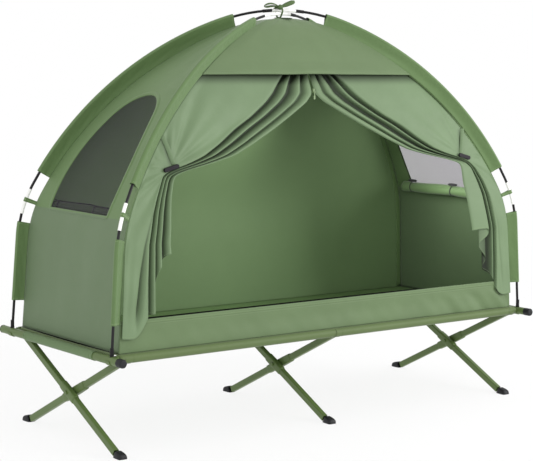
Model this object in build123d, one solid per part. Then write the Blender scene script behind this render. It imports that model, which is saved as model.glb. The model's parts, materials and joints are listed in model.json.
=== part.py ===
from build123d import *
from math import acos, asin, atan2, cos, degrees, hypot, radians, sin, tan
import os

os.makedirs("parts", exist_ok=True)

# Frame: +X runs along the bed to the right, the door faces -Y, +Z is up, the floor is z = 0.
# All sizes are millimetres.

# Cot layout
bar_reach = 950.0  # end bar axis from the middle
bar_half_length = 399.0
frame_height = 331.0  # axis of rails and end bars above the floor
rail_half_spacing = 324.0
foot_half_spacing = 322.0  # where a leg axis meets the floor
leg_set_inset = 50.0  # outer leg pairs inside the end bar axis

# Tubes and fits
rail_radius = 14.0
bar_radius = 14.0
tube_wall = 1.5
press_clearance = 0.05
running_clearance = 0.05
loose_clearance = 0.3
rail_joint_gap = 0.8
rail_spigot_length = 160.0
cut_overrun = 1.0  # how far a cut runs past the end that it opens

# Cradles at the rail ends
cradle_wall = 2.5
cradle_width = 24.0
cradle_clearance = 0.15
cradle_plug_length = 32.0

# End bar fittings
bar_cap_thickness = 7.0
bar_cap_plug = 12.0
bar_cap_lip = 0.6
bar_cover_half_length = 228.0

# Legs: rectangular tube, width along X and depth across the leg
leg_width = 20.0
leg_depth = 24.0
leg_corner = 4.0
least_corner = 0.8  # smallest inner corner of a box tube
leg_side_gap = 0.6  # between the collars of a crossed pair
leg_top_gap = 4.0  # leg end to the rail face
collar_wall = 2.0
rear_collar_length = 92.0
front_collar_length = 150.0
pivot_radius = 4.0
pivot_head_radius = 7.0
pivot_head_height = 5.0
tongue_length = 42.0
tongue_clearance = 0.2
saddle_wall = 2.5
saddle_width = 26.0
saddle_half_angle = 70.0
rivet_radius = 3.0
rivet_head_radius = 5.0
rivet_head_height = 1.8
rivet_from_leg_top = 20.0
foot_wall = 2.5
foot_length = 48.0
foot_overrun = 4.0  # cap end past the point where the leg axis meets the floor
foot_sole = 3.0  # rubber under the lowest corner of the leg tube

# Cot sheet
sheet_thickness = 1.5
sheet_end_gap = 25.0  # sheet end to the end bar axis
sheet_joint_gap = 2.4
bracket_notch = 34.0
bracket_notch_top = 12.5  # notch top above the rail axis
bracket_notch_reach = 3.0  # notch past the rail axis

# Tent poles: each half rises straight, then turns through three tangent arcs to the crown
pole_foot_across = 328.0  # pole foot from the middle, along the end bar
pole_lean = 3.75  # degrees from upright at the foot
pole_straight_top = 664.7  # height where the lower pole starts to curve
pole_rise = 12.6  # extra straight length of the pole that crosses on top
shoulder_radius = 433.0
haunch_lean = 28.46
haunch_radius = 1267.0
crown_lean = 71.2
rod_radius = 4.75
ferrule_radius = 6.0
rod_end_gap = 1.0
shoulder_ferrule_low = 754.0
shoulder_ferrule_high = 840.0
crown_ferrule_half = 80.0
tip_pin_radius = 4.0
tip_pin_depth = 25.0
tip_flange_radius = 7.5
tip_flange_height = 3.5
tip_boss_radius = 6.5
tip_boss_height = 24.0
tip_socket_depth = 20.0

# Tent body
tent_inset = 36.0  # tent seam inside the pole axis
wall_thickness = 2.0
seam_gap = 0.25  # each wall to the diagonal plane of its corner seam
sleeve_seat_gap = 0.8  # sleeve web to the corner seam
crown_hole_radius = 12.0
floor_thickness = 1.5
sleeve_wall = 2.0
sleeve_bore = 6.5
web_thickness = 3.0
upper_sleeve_low = 900.0
upper_sleeve_end = 200.0  # upper sleeve end from the crown, along the diagonal
lower_sleeve_low = 445.0
lower_sleeve_high = 725.0
loop_height = 803.0
loop_width = 15.0
loop_wall = 1.2
bore_overrun = 1.0  # degrees that a sleeve bore runs past its ends
wall_samples = 17  # steps of the wall curve from foot to crown

# Door
visor_hem = 1250.0
visor_offset = 3.0
visor_seam_gap = 2.0
visor_hem_radius = 2.5
hem_end_gap = 10.0  # rolled hem end to the corner seam
sill_top = 450.0
sill_hem_radius = 3.0
curtain_thickness = 4.0
curtain_inset = 10.0  # curtain behind the wall surface at its top
curtain_outset = 7.5  # curtain outside the sill at its hem
curtain_corner_gap = 4.0  # curtain edge inside the corner seam
curtain_pleats = 4
curtain_pleat_depth = 7.0
curtain_pleat_roundness = 0.35  # deepest pleat as a part of its width
curtain_tuck = 12.0  # curtain top above the visor hem
left_hem = 390.0
right_hem = 412.0

# Toggles and straps that hold the curtains back
toggle_corner_gap = 97.0  # toggle middle inside the corner seam
toggle_height = 946.0
toggle_length = 62.0
toggle_bar_height = 15.0
toggle_bar_depth = 7.0
toggle_bar_corner = 6.8
toggle_tilt = 14.0
toggle_pleat_room = 0.85  # pleats that stand out under the toggle
strap_rise = 106.0  # strap top above the toggle
strap_width = 9.0
strap_thickness = 1.2
strap_stand_off = 1.0
strap_levels = 5

# Windows in the end walls
window_sill = 792.0
window_sill_half = 185.0
window_side_height = 960.0
window_side_half = 176.0
window_shoulder_height = 1110.0
window_shoulder_half = 122.0
window_top = 1186.0
window_corner = 14.0
mesh_thickness = 1.0
roll_radius = 30.0
roll_half_length = 224.0
roll_height = 770.0
roll_end_round = 8.0
roll_wall_gap = 0.4
roll_samples = 20  # heights at which the roll is set against the wall
roll_tie_places = (172.0, -62.0)
roll_tie_width = 14.0
roll_tie_thickness = 1.6
roll_tie_tail = 34.0

# Crown tie
tie_width = 15.0
tie_thickness = 1.5
tie_pole_gap = 1.5
tie_patch_radius = 34.0
tie_patch_thickness = 1.5
bow_loop_length = 52.0
bow_loop_height = 22.0
bow_loop_rise = 20.0  # degrees
bow_tail_length = 50.0
bow_tail_width = 12.0
bow_tail_turn = 55.0  # degrees from the loops
bow_knot_half = 9.0
bow_knot_height = 13.5
bow_knot_seat = 6.3  # knot middle above the strap
bow_knot_round = 3.0

# Zip
zip_body_half_width = 3.6
zip_body_height = 16.0
zip_body_depth = 8.0
zip_body_round = 1.0
zip_pin_radius = 1.2
zip_pull_length = 24.0
zip_pull_width = 7.0
zip_pull_thickness = 2.0
zip_grip_length = 14.4
zip_grip_drop = 19.2  # grip middle below the pin
zip_grip_corner = 3.2
zip_lug_wall = 1.6


def save(shape, name):
    """Name a shape and write it as one node."""
    shape.label = name
    export_step(shape, f"parts/{name}.step")


def group(solids):
    """Separate solids kept together in one node."""
    return Compound(children=list(solids))


def tube_along(direction, start, end, outer, inner):
    """Straight tube from start to end along a unit axis name, about the origin."""
    profile = Circle(outer) - Circle(inner) if inner else Circle(outer)
    solid = Pos(0, 0, start) * extrude(profile, end - start)
    if direction == "x":
        return Rot(0, 90, 0) * solid
    if direction == "y":
        return Rot(-90, 0, 0) * solid
    return solid


def mirror_x(shape):
    """Same shape on the other side of the middle plane across the bed."""
    return mirror(shape, about=Plane.YZ)


def mirror_y(shape):
    """Same shape on the other side of the long middle plane."""
    return mirror(shape, about=Plane.XZ)


# Cot legs
leg_rise = atan2(frame_height, rail_half_spacing + foot_half_spacing)
pivot_height = foot_half_spacing * tan(leg_rise)
leg_up = hypot(rail_half_spacing, frame_height - pivot_height)
leg_down = hypot(foot_half_spacing, pivot_height)
collar_half_width = leg_width / 2 + press_clearance + collar_wall
leg_side_offset = collar_half_width + leg_side_gap / 2
leg_bottom_room = pivot_height - foot_sole - leg_depth / 2 * cos(leg_rise)
leg_low_end = leg_bottom_room / sin(leg_rise)
leg_high_end = leg_up - rail_radius - leg_top_gap
pivot_bore = pivot_radius + running_clearance
leg_set_reach = bar_reach - leg_set_inset
leg_sets = {"left": -leg_set_reach, "middle": 0.0, "right": leg_set_reach}


def leg_plane(place, side):
    """Plane at a crossing whose normal runs up the leg; side is +1 for legs to the rear rail."""
    return Plane(
        origin=(place - side * leg_side_offset, 0, pivot_height),
        x_dir=(1, 0, 0),
        z_dir=(0, side * cos(leg_rise), sin(leg_rise)),
    )


def box_tube(low, high, grow_out, grow_in):
    """Rectangular tube on the leg section, grown outwards and inwards from the leg's outer face."""
    outer = RectangleRounded(leg_width + 2 * grow_out, leg_depth + 2 * grow_out, leg_corner + grow_out)
    inner_corner = max(leg_corner - grow_in, least_corner)
    inner = RectangleRounded(leg_width - 2 * grow_in, leg_depth - 2 * grow_in, inner_corner)
    return Pos(0, 0, low) * extrude(outer - inner, high - low)


def cross_bore(height, radius):
    """Bore along X through a leg at a height up its axis."""
    return Pos(0, 0, height) * tube_along("x", -leg_width * 2, leg_width * 2, radius, 0)


def leg_pieces(place, side):
    """Leg, collar, foot cap, rail bracket and rivet of one leg, in place."""
    plane = leg_plane(place, side)
    rivet_height = leg_high_end - rivet_from_leg_top
    leg = box_tube(-leg_low_end, leg_high_end, 0, tube_wall)
    leg -= cross_bore(0, pivot_bore)
    leg -= cross_bore(rivet_height, rivet_radius + press_clearance)
    half_collar = (rear_collar_length if side > 0 else front_collar_length) / 2
    collar = box_tube(-half_collar, half_collar, press_clearance + collar_wall, -press_clearance)
    collar -= cross_bore(0, pivot_bore)
    cap_profile = RectangleRounded(
        leg_width + 2 * foot_wall, leg_depth + 2 * foot_wall, leg_corner + foot_wall
    )
    cap_low = -leg_down - foot_overrun
    cap = Pos(0, 0, cap_low) * extrude(cap_profile, foot_length + foot_overrun)
    cap = fillet(cap.faces().sort_by(Axis.Z)[0].edges(), foot_wall)
    socket = RectangleRounded(
        leg_width + 2 * press_clearance, leg_depth + 2 * press_clearance, leg_corner
    )
    cap -= Pos(0, 0, -leg_low_end - press_clearance) * extrude(socket, foot_length)
    tongue = RectangleRounded(
        leg_width - 2 * tube_wall - 2 * tongue_clearance,
        leg_depth - 2 * tube_wall - 2 * tongue_clearance,
        leg_corner - tube_wall,
    )
    saddle_inner = rail_radius + press_clearance
    reach = saddle_inner + saddle_wall
    saddle = tube_along("x", -saddle_width / 2, saddle_width / 2, reach, saddle_inner)
    wedge_reach = 2 * reach
    wedge_side = wedge_reach * tan(radians(saddle_half_angle))
    wedge = Polyline(
        (0, 0), (-wedge_reach, wedge_side), (-wedge_reach, -wedge_side), close=True
    )
    saddle &= Pos(-saddle_width, 0, 0) * extrude(
        Plane(origin=(0, 0, 0), x_dir=(0, 0, 1), z_dir=(1, 0, 0)) * make_face(wedge), 2 * saddle_width
    )
    bracket = Pos(0, 0, leg_up) * saddle
    stem_end = leg_up - saddle_inner - saddle_wall / 2
    bracket += Pos(0, 0, stem_end - tongue_length) * extrude(tongue, tongue_length)
    bracket -= cross_bore(rivet_height, rivet_radius + press_clearance)
    head_start = leg_width / 2 + press_clearance
    rivet = tube_along("x", -head_start, head_start, rivet_radius, 0)
    for turn in (0, 180):
        head = tube_along("x", head_start, head_start + rivet_head_height, rivet_head_radius, 0)
        rivet += Rot(0, 0, turn) * head
    rivet = Pos(0, 0, rivet_height) * rivet
    floor_block = Pos(0, 0, -bar_reach) * Box(4 * bar_reach, 4 * bar_reach, 2 * bar_reach)
    placed_cap = plane * cap - floor_block
    return plane * leg, plane * collar, placed_cap, plane * bracket, plane * rivet


for half, side, feet_name in (("rear", 1, "front_feet"), ("front", -1, "rear_feet")):
    collars, caps, brackets, rivets = [], [], [], []
    for set_name, place in leg_sets.items():
        leg, collar, cap, bracket, rivet = leg_pieces(place, side)
        save(leg, f"{half}_leg_{set_name}")
        collars.append(collar)
        caps.append(cap)
        brackets.append(bracket)
        rivets.append(rivet)
    save(group(collars), f"{half}_leg_collars")
    save(group(caps), feet_name)
    save(group(brackets), f"{half}_leg_brackets")
    save(group(rivets), f"{half}_leg_rivets")

# Pivot bolts and nuts at the crossings
grip = leg_side_offset + collar_half_width + running_clearance
bolts, nuts = [], []
for place in leg_sets.values():
    bolt = tube_along("x", -grip, grip + pivot_head_height, pivot_radius, 0)
    head = Pos(-grip - pivot_head_height, 0, 0) * (
        Rot(0, 90, 0) * extrude(RegularPolygon(pivot_head_radius, 6), pivot_head_height)
    )
    bolts.append(Pos(place, 0, pivot_height) * (bolt + head))
    nut_profile = RegularPolygon(pivot_head_radius, 6) - Circle(pivot_radius + press_clearance)
    nut = Rot(0, 90, 0) * extrude(nut_profile, pivot_head_height)
    nuts.append(Pos(place + grip, 0, pivot_height) * nut)
save(group(bolts), "pivot_bolts")
save(group(nuts), "pivot_nuts")

# Rails, their inner joints and the cradles for the end bars
cradle_inner = bar_radius + cradle_clearance
cradle_outer = cradle_inner + cradle_wall
rail_end = bar_reach - cradle_outer - loose_clearance
rail_bore = rail_radius - tube_wall
for half, side in (("rear", 1), ("front", -1)):
    rail_axis = Pos(0, side * rail_half_spacing, frame_height)
    rail = tube_along("x", rail_joint_gap / 2, rail_end, rail_radius, rail_bore)
    spigot = tube_along(
        "x",
        -rail_spigot_length / 2,
        rail_spigot_length / 2,
        rail_bore - press_clearance,
        rail_bore - press_clearance - tube_wall,
    )
    shell = tube_along("y", -cradle_width / 2, cradle_width / 2, cradle_outer, cradle_inner)
    shell -= Pos(0, 0, cradle_outer) * Box(4 * cradle_outer, 4 * cradle_outer, 2 * cradle_outer)
    cradle = Pos(bar_reach, 0, 0) * shell
    plug_end = bar_reach - cradle_inner - cradle_clearance
    cradle += tube_along("x", rail_end - cradle_plug_length, plug_end, rail_bore - press_clearance, 0)
    save(rail_axis * rail, f"{half}_rail_right")
    save(rail_axis * mirror_x(rail), f"{half}_rail_left")
    save(rail_axis * spigot, f"{half}_rail_spigot")
    save(group([rail_axis * cradle, rail_axis * mirror_x(cradle)]), f"{half}_rail_cradles")

# Cot sheet: a flat panel that wraps each rail in a sleeve, notched under the leg brackets
sheet_inner = rail_radius + loose_clearance
sheet_outer = sheet_inner + sheet_thickness
sheet_top = frame_height + sheet_outer
sheet_half_length = bar_reach - sheet_end_gap
sheet = Pos(0, 0, sheet_top - sheet_thickness / 2) * Box(
    2 * sheet_half_length, 2 * rail_half_spacing, sheet_thickness
)
for side in (1, -1):
    sleeve = Pos(0, side * rail_half_spacing, frame_height) * tube_along(
        "x", -sheet_half_length, sheet_half_length, sheet_outer, sheet_inner
    )
    sheet += sleeve
for side in (1, -1):
    rail_core = Pos(0, side * rail_half_spacing, frame_height) * tube_along(
        "x", -sheet_half_length - cut_overrun, sheet_half_length + cut_overrun, sheet_inner, 0
    )
    sheet -= rail_core
    joint_depth = 2 * sheet_outer - sheet_thickness - loose_clearance
    sheet -= Pos(0, side * rail_half_spacing, sheet_top - sheet_thickness - joint_depth / 2) * Box(
        sheet_joint_gap, 4 * sheet_outer, joint_depth
    )
    for place in leg_sets.values():
        notch_top = frame_height + bracket_notch_top
        notch_low = frame_height - 2 * sheet_outer
        sheet -= Pos(
            place - side * leg_side_offset,
            side * (rail_half_spacing - sheet_outer + bracket_notch_reach),
            (notch_top + notch_low) / 2,
        ) * Box(bracket_notch, 2 * (sheet_outer + bracket_notch_reach), notch_top - notch_low)
save(sheet, "bed_sheet")

# End bars with their caps and covers
bar_tube_end = bar_half_length - bar_cap_thickness
bar = tube_along("y", -bar_tube_end, bar_tube_end, bar_radius, bar_radius - tube_wall)
for side in (1, -1):
    pin_hole = tube_along("z", 0, 2 * bar_radius, tip_pin_radius + loose_clearance, 0)
    bar -= Pos(0, side * pole_foot_across, 0) * pin_hole
cap_outer = bar_radius + bar_cap_lip
cap = tube_along("y", bar_tube_end + press_clearance, bar_half_length, cap_outer, 0)
cap = fillet(cap.faces().sort_by(Axis.Y)[-1].edges(), bar_cap_thickness / 3)
cap += tube_along(
    "y",
    bar_tube_end - bar_cap_plug,
    bar_tube_end + bar_cap_thickness / 2,
    bar_radius - tube_wall - press_clearance,
    0,
)
cover = tube_along(
    "y",
    -bar_cover_half_length,
    bar_cover_half_length,
    bar_radius + loose_clearance + sheet_thickness,
    bar_radius + loose_clearance,
)
for name, side in (("head_bar", -1), ("foot_bar", 1)):
    bar_axis = Pos(side * bar_reach, 0, frame_height)
    save(bar_axis * bar, name)
    save(group([bar_axis * cap, bar_axis * mirror_y(cap)]), f"{name}_caps")
    save(bar_axis * cover, f"{name}_cover")

# Dome curve, drawn in a vertical diagonal plane: s along the diagonal, z up
pole_foot_height = frame_height + bar_radius
pole_foot_s = hypot(bar_reach, pole_foot_across)
along_x = bar_reach / pole_foot_s
along_y = pole_foot_across / pole_foot_s


def dome_arcs(straight_top):
    """Arcs of a pole half as (centre s, centre z, radius, lean from, lean to), shoulder to crown."""
    lean = radians(pole_lean)
    s = pole_foot_s - (straight_top - pole_foot_height) * tan(lean)
    z = straight_top
    arcs = []
    leans = (pole_lean, haunch_lean, crown_lean, 90.0)
    for radius, low, high in zip((shoulder_radius, haunch_radius, None), leans, leans[1:]):
        if radius is None:
            radius = s / cos(radians(low))
        centre_s = s - radius * cos(radians(low))
        centre_z = z - radius * sin(radians(low))
        arcs.append((centre_s, centre_z, radius, low, high))
        s = centre_s + radius * cos(radians(high))
        z = centre_z + radius * sin(radians(high))
    return arcs


over_arcs = dome_arcs(pole_straight_top + pole_rise)
under_arcs = dome_arcs(pole_straight_top)


def dome_point(arcs, lean, inset):
    """Point on the dome at a lean in degrees, moved inwards by inset."""
    for centre_s, centre_z, radius, low, high in arcs:
        if lean <= high:
            reach = radius - inset
            return centre_s + reach * cos(radians(lean)), centre_z + reach * sin(radians(lean))
    raise ValueError("lean past the crown")


def line_point(arcs, height, inset):
    """Point on the straight foot of the dome at a height."""
    s, z = dome_point(arcs, pole_lean, inset)
    return s - (height - z) * tan(radians(pole_lean)), height


def lean_at(arcs, height, inset):
    """Lean of the dome at a height on its arcs."""
    for centre_s, centre_z, radius, low, high in arcs:
        reach = radius - inset
        if height <= centre_z + reach * sin(radians(high)):
            return degrees(asin((height - centre_z) / reach))
    raise ValueError("height over the crown")


def dome_s(height, inset):
    """Distance of the lower dome from its axis, along the diagonal, at a height."""
    if height <= dome_point(under_arcs, pole_lean, inset)[1]:
        return line_point(under_arcs, height, inset)[0]
    return dome_point(under_arcs, lean_at(under_arcs, height, inset), inset)[0]


def dome_edges(arcs, start, end, inset):
    """Edges of the dome curve between two leans; a negative start is a height on the straight foot."""
    edges = []
    if start < 0:
        edges.append(Line(line_point(arcs, -start, inset), dome_point(arcs, pole_lean, inset)))
        start = pole_lean
    for centre_s, centre_z, radius, low, high in arcs:
        first, last = max(start, low), min(end, high)
        if last > first:
            edges.append(CenterArc((centre_s, centre_z), radius - inset, first, last - first))
    return edges


def swept(edges, outer, inner):
    """Round bar or tube carried along a chain of edges in the dome plane."""
    path = Wire(edges)
    profile = Circle(outer) - Circle(inner) if inner else Circle(outer)
    section = Plane(origin=path @ 0, x_dir=(0, 0, 1), z_dir=path % 0) * profile
    return sweep(section, path=path)


def web(arcs, start, end, seat_gap):
    """Flat cloth between the tent seam and the pole axis, centred on the dome plane."""
    outer = dome_edges(arcs, start, end, 0)
    inner = dome_edges(under_arcs, start, end, tent_inset - seat_gap)
    outer_wire, inner_wire = Wire(outer), Wire(inner)
    low = Line(inner_wire @ 0, outer_wire @ 0)
    high = Line(inner_wire @ 1, outer_wire @ 1)
    face = make_face(outer + inner + [low, high])
    return extrude(face, web_thickness / 2, both=True)


def dome_plane(sign):
    """Vertical diagonal plane: +1 through the right rear pole foot, -1 through the right front one."""
    return Plane(
        origin=(0, 0, 0),
        x_dir=(along_x, sign * along_y, 0),
        z_dir=(sign * along_y, -along_x, 0),
    )


def both_ends(sign, shape):
    """A shape of a pole half placed at both ends of its diagonal."""
    placed = dome_plane(sign) * shape
    return [placed, Rot(0, 0, 180) * placed]


def cloth_sleeve(arcs, start, end, bore, wall):
    """Tunnel round the pole with the web that joins it to the tent seam."""
    tunnel = swept(dome_edges(arcs, start, end, 0), bore + wall, 0)
    sleeve = tunnel + web(arcs, start, end, sleeve_seat_gap)
    bore_start = start + bore if start < 0 else start - bore_overrun
    return sleeve - swept(dome_edges(arcs, bore_start, end + bore_overrun, 0), bore, 0)


tips, loops = [], []
for pole, sign, arcs in (("over", -1, over_arcs), ("under", 1, under_arcs)):
    crown_s, crown_z, crown_radius, _, _ = arcs[-1]
    ferrule_low = lean_at(arcs, shoulder_ferrule_low, 0)
    ferrule_high = lean_at(arcs, shoulder_ferrule_high, 0)
    ferrule_middle = (ferrule_low + ferrule_high) / 2
    half_gap = degrees(rod_end_gap / 2 / shoulder_radius)
    crown_gap = degrees(rod_end_gap / 2 / crown_radius)
    rod_foot = pole_foot_height + tip_flange_height + tip_boss_height - tip_socket_depth
    rods = both_ends(
        sign, swept(dome_edges(arcs, -rod_foot, ferrule_middle - half_gap, 0), rod_radius, 0)
    )
    rods += both_ends(
        sign, swept(dome_edges(arcs, ferrule_middle + half_gap, 90.0 - crown_gap, 0), rod_radius, 0)
    )
    save(group(rods), f"{pole}_pole_rods")
    ferrule_bore = rod_radius + press_clearance
    ferrules = both_ends(
        sign, swept(dome_edges(arcs, ferrule_low, ferrule_high, 0), ferrule_radius, ferrule_bore)
    )
    crown_half = degrees(crown_ferrule_half / crown_radius)
    crown_arc = CenterArc((crown_s, crown_z), crown_radius, 90.0 - crown_half, 2 * crown_half)
    ferrules.append(dome_plane(sign) * swept([crown_arc], ferrule_radius, ferrule_bore))
    save(group(ferrules), f"{pole}_pole_ferrules")
    foot_s = line_point(arcs, pole_foot_height, 0)[0]
    seat = pole_foot_height + loose_clearance
    tip = tube_along("z", pole_foot_height - tip_pin_depth, seat, tip_pin_radius, 0)
    tip += tube_along("z", seat, seat + tip_flange_height, tip_flange_radius, 0)
    tip += tube_along("z", seat, seat + tip_flange_height + tip_boss_height, tip_boss_radius, 0)
    rod_room = dome_edges(arcs, -(rod_foot - rod_end_gap), haunch_lean, 0)
    tip_in_plane = Pos(foot_s, 0, 0) * (Rot(-90, 0, 0) * tip)
    tip_in_plane -= swept(rod_room, rod_radius + press_clearance, 0)
    tips += both_ends(sign, tip_in_plane)
    upper_start = lean_at(arcs, upper_sleeve_low, 0)
    upper_end = degrees(acos(upper_sleeve_end / crown_radius))
    upper = cloth_sleeve(arcs, upper_start, upper_end, sleeve_bore, sleeve_wall)
    save(group(both_ends(sign, upper)), f"{pole}_upper_sleeves")
    lower_end = lean_at(arcs, lower_sleeve_high, 0)
    lower = cloth_sleeve(arcs, -lower_sleeve_low, lower_end, sleeve_bore, sleeve_wall)
    save(group(both_ends(sign, lower)), f"{pole}_lower_sleeves")
    loop_lean = lean_at(arcs, loop_height, 0)
    loop_half = degrees(loop_width / 2 / shoulder_radius)
    loop_bore = ferrule_radius + loose_clearance
    loops += both_ends(
        sign, cloth_sleeve(arcs, loop_lean - loop_half, loop_lean + loop_half, loop_bore, loop_wall)
    )
save(group(tips), "pole_tips")
save(group(loops), "pole_loops")

# Tent walls: the dome curve drawn out sideways and mitred along the diagonal planes
tent_bottom = sheet_top + loose_clearance
wall_leans = [pole_lean + (90.0 - pole_lean) * step / wall_samples for step in range(wall_samples + 1)]


def wall_curve(scale, set_in):
    """Smooth curve of a wall from foot to crown: the seam curve with s scaled onto one axis, set in."""
    points = []
    for height in (tent_bottom, (tent_bottom + pole_straight_top) / 2):
        points.append((scale * line_point(under_arcs, height, tent_inset)[0] - set_in, height))
    for lean in wall_leans:
        s, z = dome_point(under_arcs, lean, tent_inset)
        out, up = cos(radians(lean)), scale * sin(radians(lean))
        shift = set_in / hypot(out, up)
        points.append((scale * s - shift * out, z - shift * up))
    rise = (-scale * sin(radians(pole_lean)), cos(radians(pole_lean)))
    return Spline(points, tangents=[rise, (-1, 0)])


def wall(scale, set_in, thickness, cross_half):
    """Wall across +X on the dome curve, before it is mitred."""
    outer = wall_curve(scale, set_in)
    inner = wall_curve(scale, set_in + thickness)
    face = make_face([outer, inner, Line(outer @ 0, inner @ 0), Line(outer @ 1, inner @ 1)])
    return Pos(0, cross_half, 0) * (Rot(90, 0, 0) * extrude(face, 2 * cross_half))


def mitre(side_ratio, gap):
    """Wedge over +X between the two diagonal planes, drawn back by a gap on each side."""
    reach = 2 * bar_reach
    back = gap / sin(atan2(side_ratio, 1))
    flat = Polyline(
        (back, 0), (reach, (reach - back) * side_ratio), (reach, -(reach - back) * side_ratio), close=True
    )
    return extrude(make_face(flat), 2 * bar_reach)


crown_hole = tube_along("z", frame_height, 2 * bar_reach, crown_hole_radius, 0)
end_ratio = along_y / along_x
side_ratio = along_x / along_y


def end_wall(set_in, thickness):
    """Right end wall on the dome."""
    solid = wall(along_x, set_in, thickness, bar_half_length)
    return (solid & mitre(end_ratio, seam_gap)) - crown_hole


def side_wall(set_in, thickness, gap):
    """Rear wall on the dome."""
    solid = wall(along_y, set_in, thickness, bar_reach)
    return Rot(0, 0, 90) * ((solid & mitre(side_ratio, gap)) - crown_hole)


def window_outline(grow):
    """Window outline in the end wall, seen along X, as a face grown by a margin."""
    sill = window_sill - grow
    top = window_top + grow
    sill_half = window_sill_half + grow
    side_half = window_side_half + grow
    shoulder_half = window_shoulder_half + grow
    right_side = ThreePointArc(
        (sill_half, sill), (side_half, window_side_height), (shoulder_half, window_shoulder_height)
    )
    left_side = ThreePointArc(
        (-sill_half, sill), (-side_half, window_side_height), (-shoulder_half, window_shoulder_height)
    )
    crown = ThreePointArc(
        (shoulder_half, window_shoulder_height), (0, top), (-shoulder_half, window_shoulder_height)
    )
    face = make_face([Line((-sill_half, sill), (sill_half, sill)), right_side, crown, left_side])
    return fillet(face.vertices(), window_corner)


def window_block(grow):
    """Window outline carried through the right end wall."""
    plane = Plane(origin=(0, 0, 0), x_dir=(0, 1, 0), z_dir=(1, 0, 0))
    return extrude(plane * window_outline(grow), bar_reach)


right_wall = end_wall(0, wall_thickness) - window_block(0)
mesh_set_in = (wall_thickness - mesh_thickness) / 2
right_mesh = end_wall(mesh_set_in, mesh_thickness) & window_block(-loose_clearance)
save(right_wall, "right_wall")
save(mirror_x(right_wall), "left_wall")
save(right_mesh, "right_window_mesh")
save(mirror_x(right_mesh), "left_window_mesh")

rear_wall = side_wall(0, wall_thickness, seam_gap)
save(rear_wall, "rear_wall")
floor_seam = dome_s(tent_bottom + floor_thickness, tent_inset)
floor_half_x = floor_seam * along_x - wall_thickness - loose_clearance
floor_half_y = floor_seam * along_y - wall_thickness - loose_clearance
tent_floor = Pos(0, 0, tent_bottom + floor_thickness / 2) * Box(
    2 * floor_half_x, 2 * floor_half_y, floor_thickness
)
save(tent_floor, "tent_floor")


def hem_bead(height, set_in, radius):
    """Rolled hem across the front wall at a height."""
    s = dome_s(height, tent_inset)
    half = s * along_x - hem_end_gap - radius
    return Pos(0, set_in - s * along_y, height) * tube_along("x", -half, half, radius, 0)


front_band = Pos(0, 0, (tent_bottom + sill_top) / 2) * Box(
    2 * bar_reach, 2 * bar_reach, sill_top - tent_bottom
)
door_sill = mirror_y(rear_wall) & front_band
door_sill += hem_bead(sill_top, wall_thickness / 2, sill_hem_radius)
save(door_sill, "door_sill")
over_hem = Pos(0, 0, visor_hem + bar_reach) * Box(2 * bar_reach, 2 * bar_reach, 2 * bar_reach)
door_visor = mirror_y(side_wall(-visor_offset, wall_thickness, visor_seam_gap)) & over_hem
door_visor += hem_bead(visor_hem, wall_thickness / 2 - visor_offset, visor_hem_radius)
save(door_visor, "door_visor")

# Curtains: level sections with a flat outer part and pleats along the inner edge.
# A swag level is (drop, pleats start, inner edge): parts of the way down from the curtain top to the
# toggle, and parts of the way out from the parting to the toggle.
curtain_top = visor_hem + curtain_tuck
curtain_parting = zip_body_half_width + loose_clearance
toggle_reach = dome_s(toggle_height, tent_inset) * along_x - toggle_corner_gap
parting_drop = 0.23
swag_levels = [
    (0.0, 0.18, 0.0),
    (parting_drop, 0.24, 0.0),
    (0.33, 0.30, 0.05),
    (0.48, 0.42, 0.18),
    (0.61, 0.55, 0.295),
    (0.77, 0.67, 0.45),
    (0.89, 0.78, 0.58),
    (0.96, 0.88, 0.715),
    (1.02, 0.99, 0.86),
    (1.08, 1.055, 0.965),
]
# A fall level is (drop, pleats start, inner edge): part of the way down from the toggle to the hem,
# and distances inside the corner seam.
fall_levels = [
    (0.10, 78.0, 132.0),
    (0.28, 106.0, 176.0),
    (0.50, 102.0, 190.0),
    (0.62, 88.0, 148.0),
    (0.86, 56.0, 132.0),
    (1.0, 45.0, 115.0),
]


def swag_height(drop):
    """Height of a swag level."""
    return curtain_top - drop * (curtain_top - toggle_height)


def curtain_front(height, hem):
    """Front line of a curtain at a height, without its pleats."""
    lowered = (curtain_top - height) / (curtain_top - hem)
    drift = lowered * (curtain_inset + curtain_outset + curtain_thickness) - curtain_inset
    return -dome_s(height, tent_inset) * along_y - drift


def curtain_face(height, pleat_start, inner_edge, hem):
    """Level section of the left curtain: outer line, pleats as arcs, and the same line set back."""
    outer_end = -(dome_s(height, tent_inset) * along_x - curtain_corner_gap)
    front = curtain_front(height, hem)
    half_wave = (pleat_start - inner_edge) / (2 * curtain_pleats)
    depth = min(curtain_pleat_depth, curtain_pleat_roundness * half_wave)
    edges = []
    for set_back in (0, curtain_thickness):
        y = front + set_back
        edges.append(Line((outer_end, y), (-pleat_start, y)))
        for step in range(2 * curtain_pleats):
            start = -pleat_start + step * half_wave
            middle = start + half_wave / 2
            bulge = -depth if step % 2 == 0 else depth
            edges.append(ThreePointArc((start, y), (middle, y + bulge), (start + half_wave, y)))
    for x in (outer_end, -inner_edge):
        edges.append(Line((x, front), (x, front + curtain_thickness)))
    return Pos(0, 0, height) * make_face(edges)


def curtain(hem):
    """Left curtain from under the visor to its hem."""
    faces = []
    swag_span = toggle_reach - curtain_parting
    for drop, pleats, edge in swag_levels:
        pleat_start = curtain_parting + pleats * swag_span
        inner_edge = curtain_parting + edge * swag_span
        faces.append(curtain_face(swag_height(drop), pleat_start, inner_edge, hem))
    for drop, pleats, edge in fall_levels:
        height = toggle_height - drop * (toggle_height - hem)
        corner = dome_s(height, tent_inset) * along_x
        faces.append(curtain_face(height, corner - pleats, corner - edge, hem))
    return loft(faces, ruled=True)


left_curtain = curtain(left_hem)
right_curtain = mirror_x(curtain(right_hem))
save(left_curtain, "left_curtain")
save(right_curtain, "right_curtain")

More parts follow.
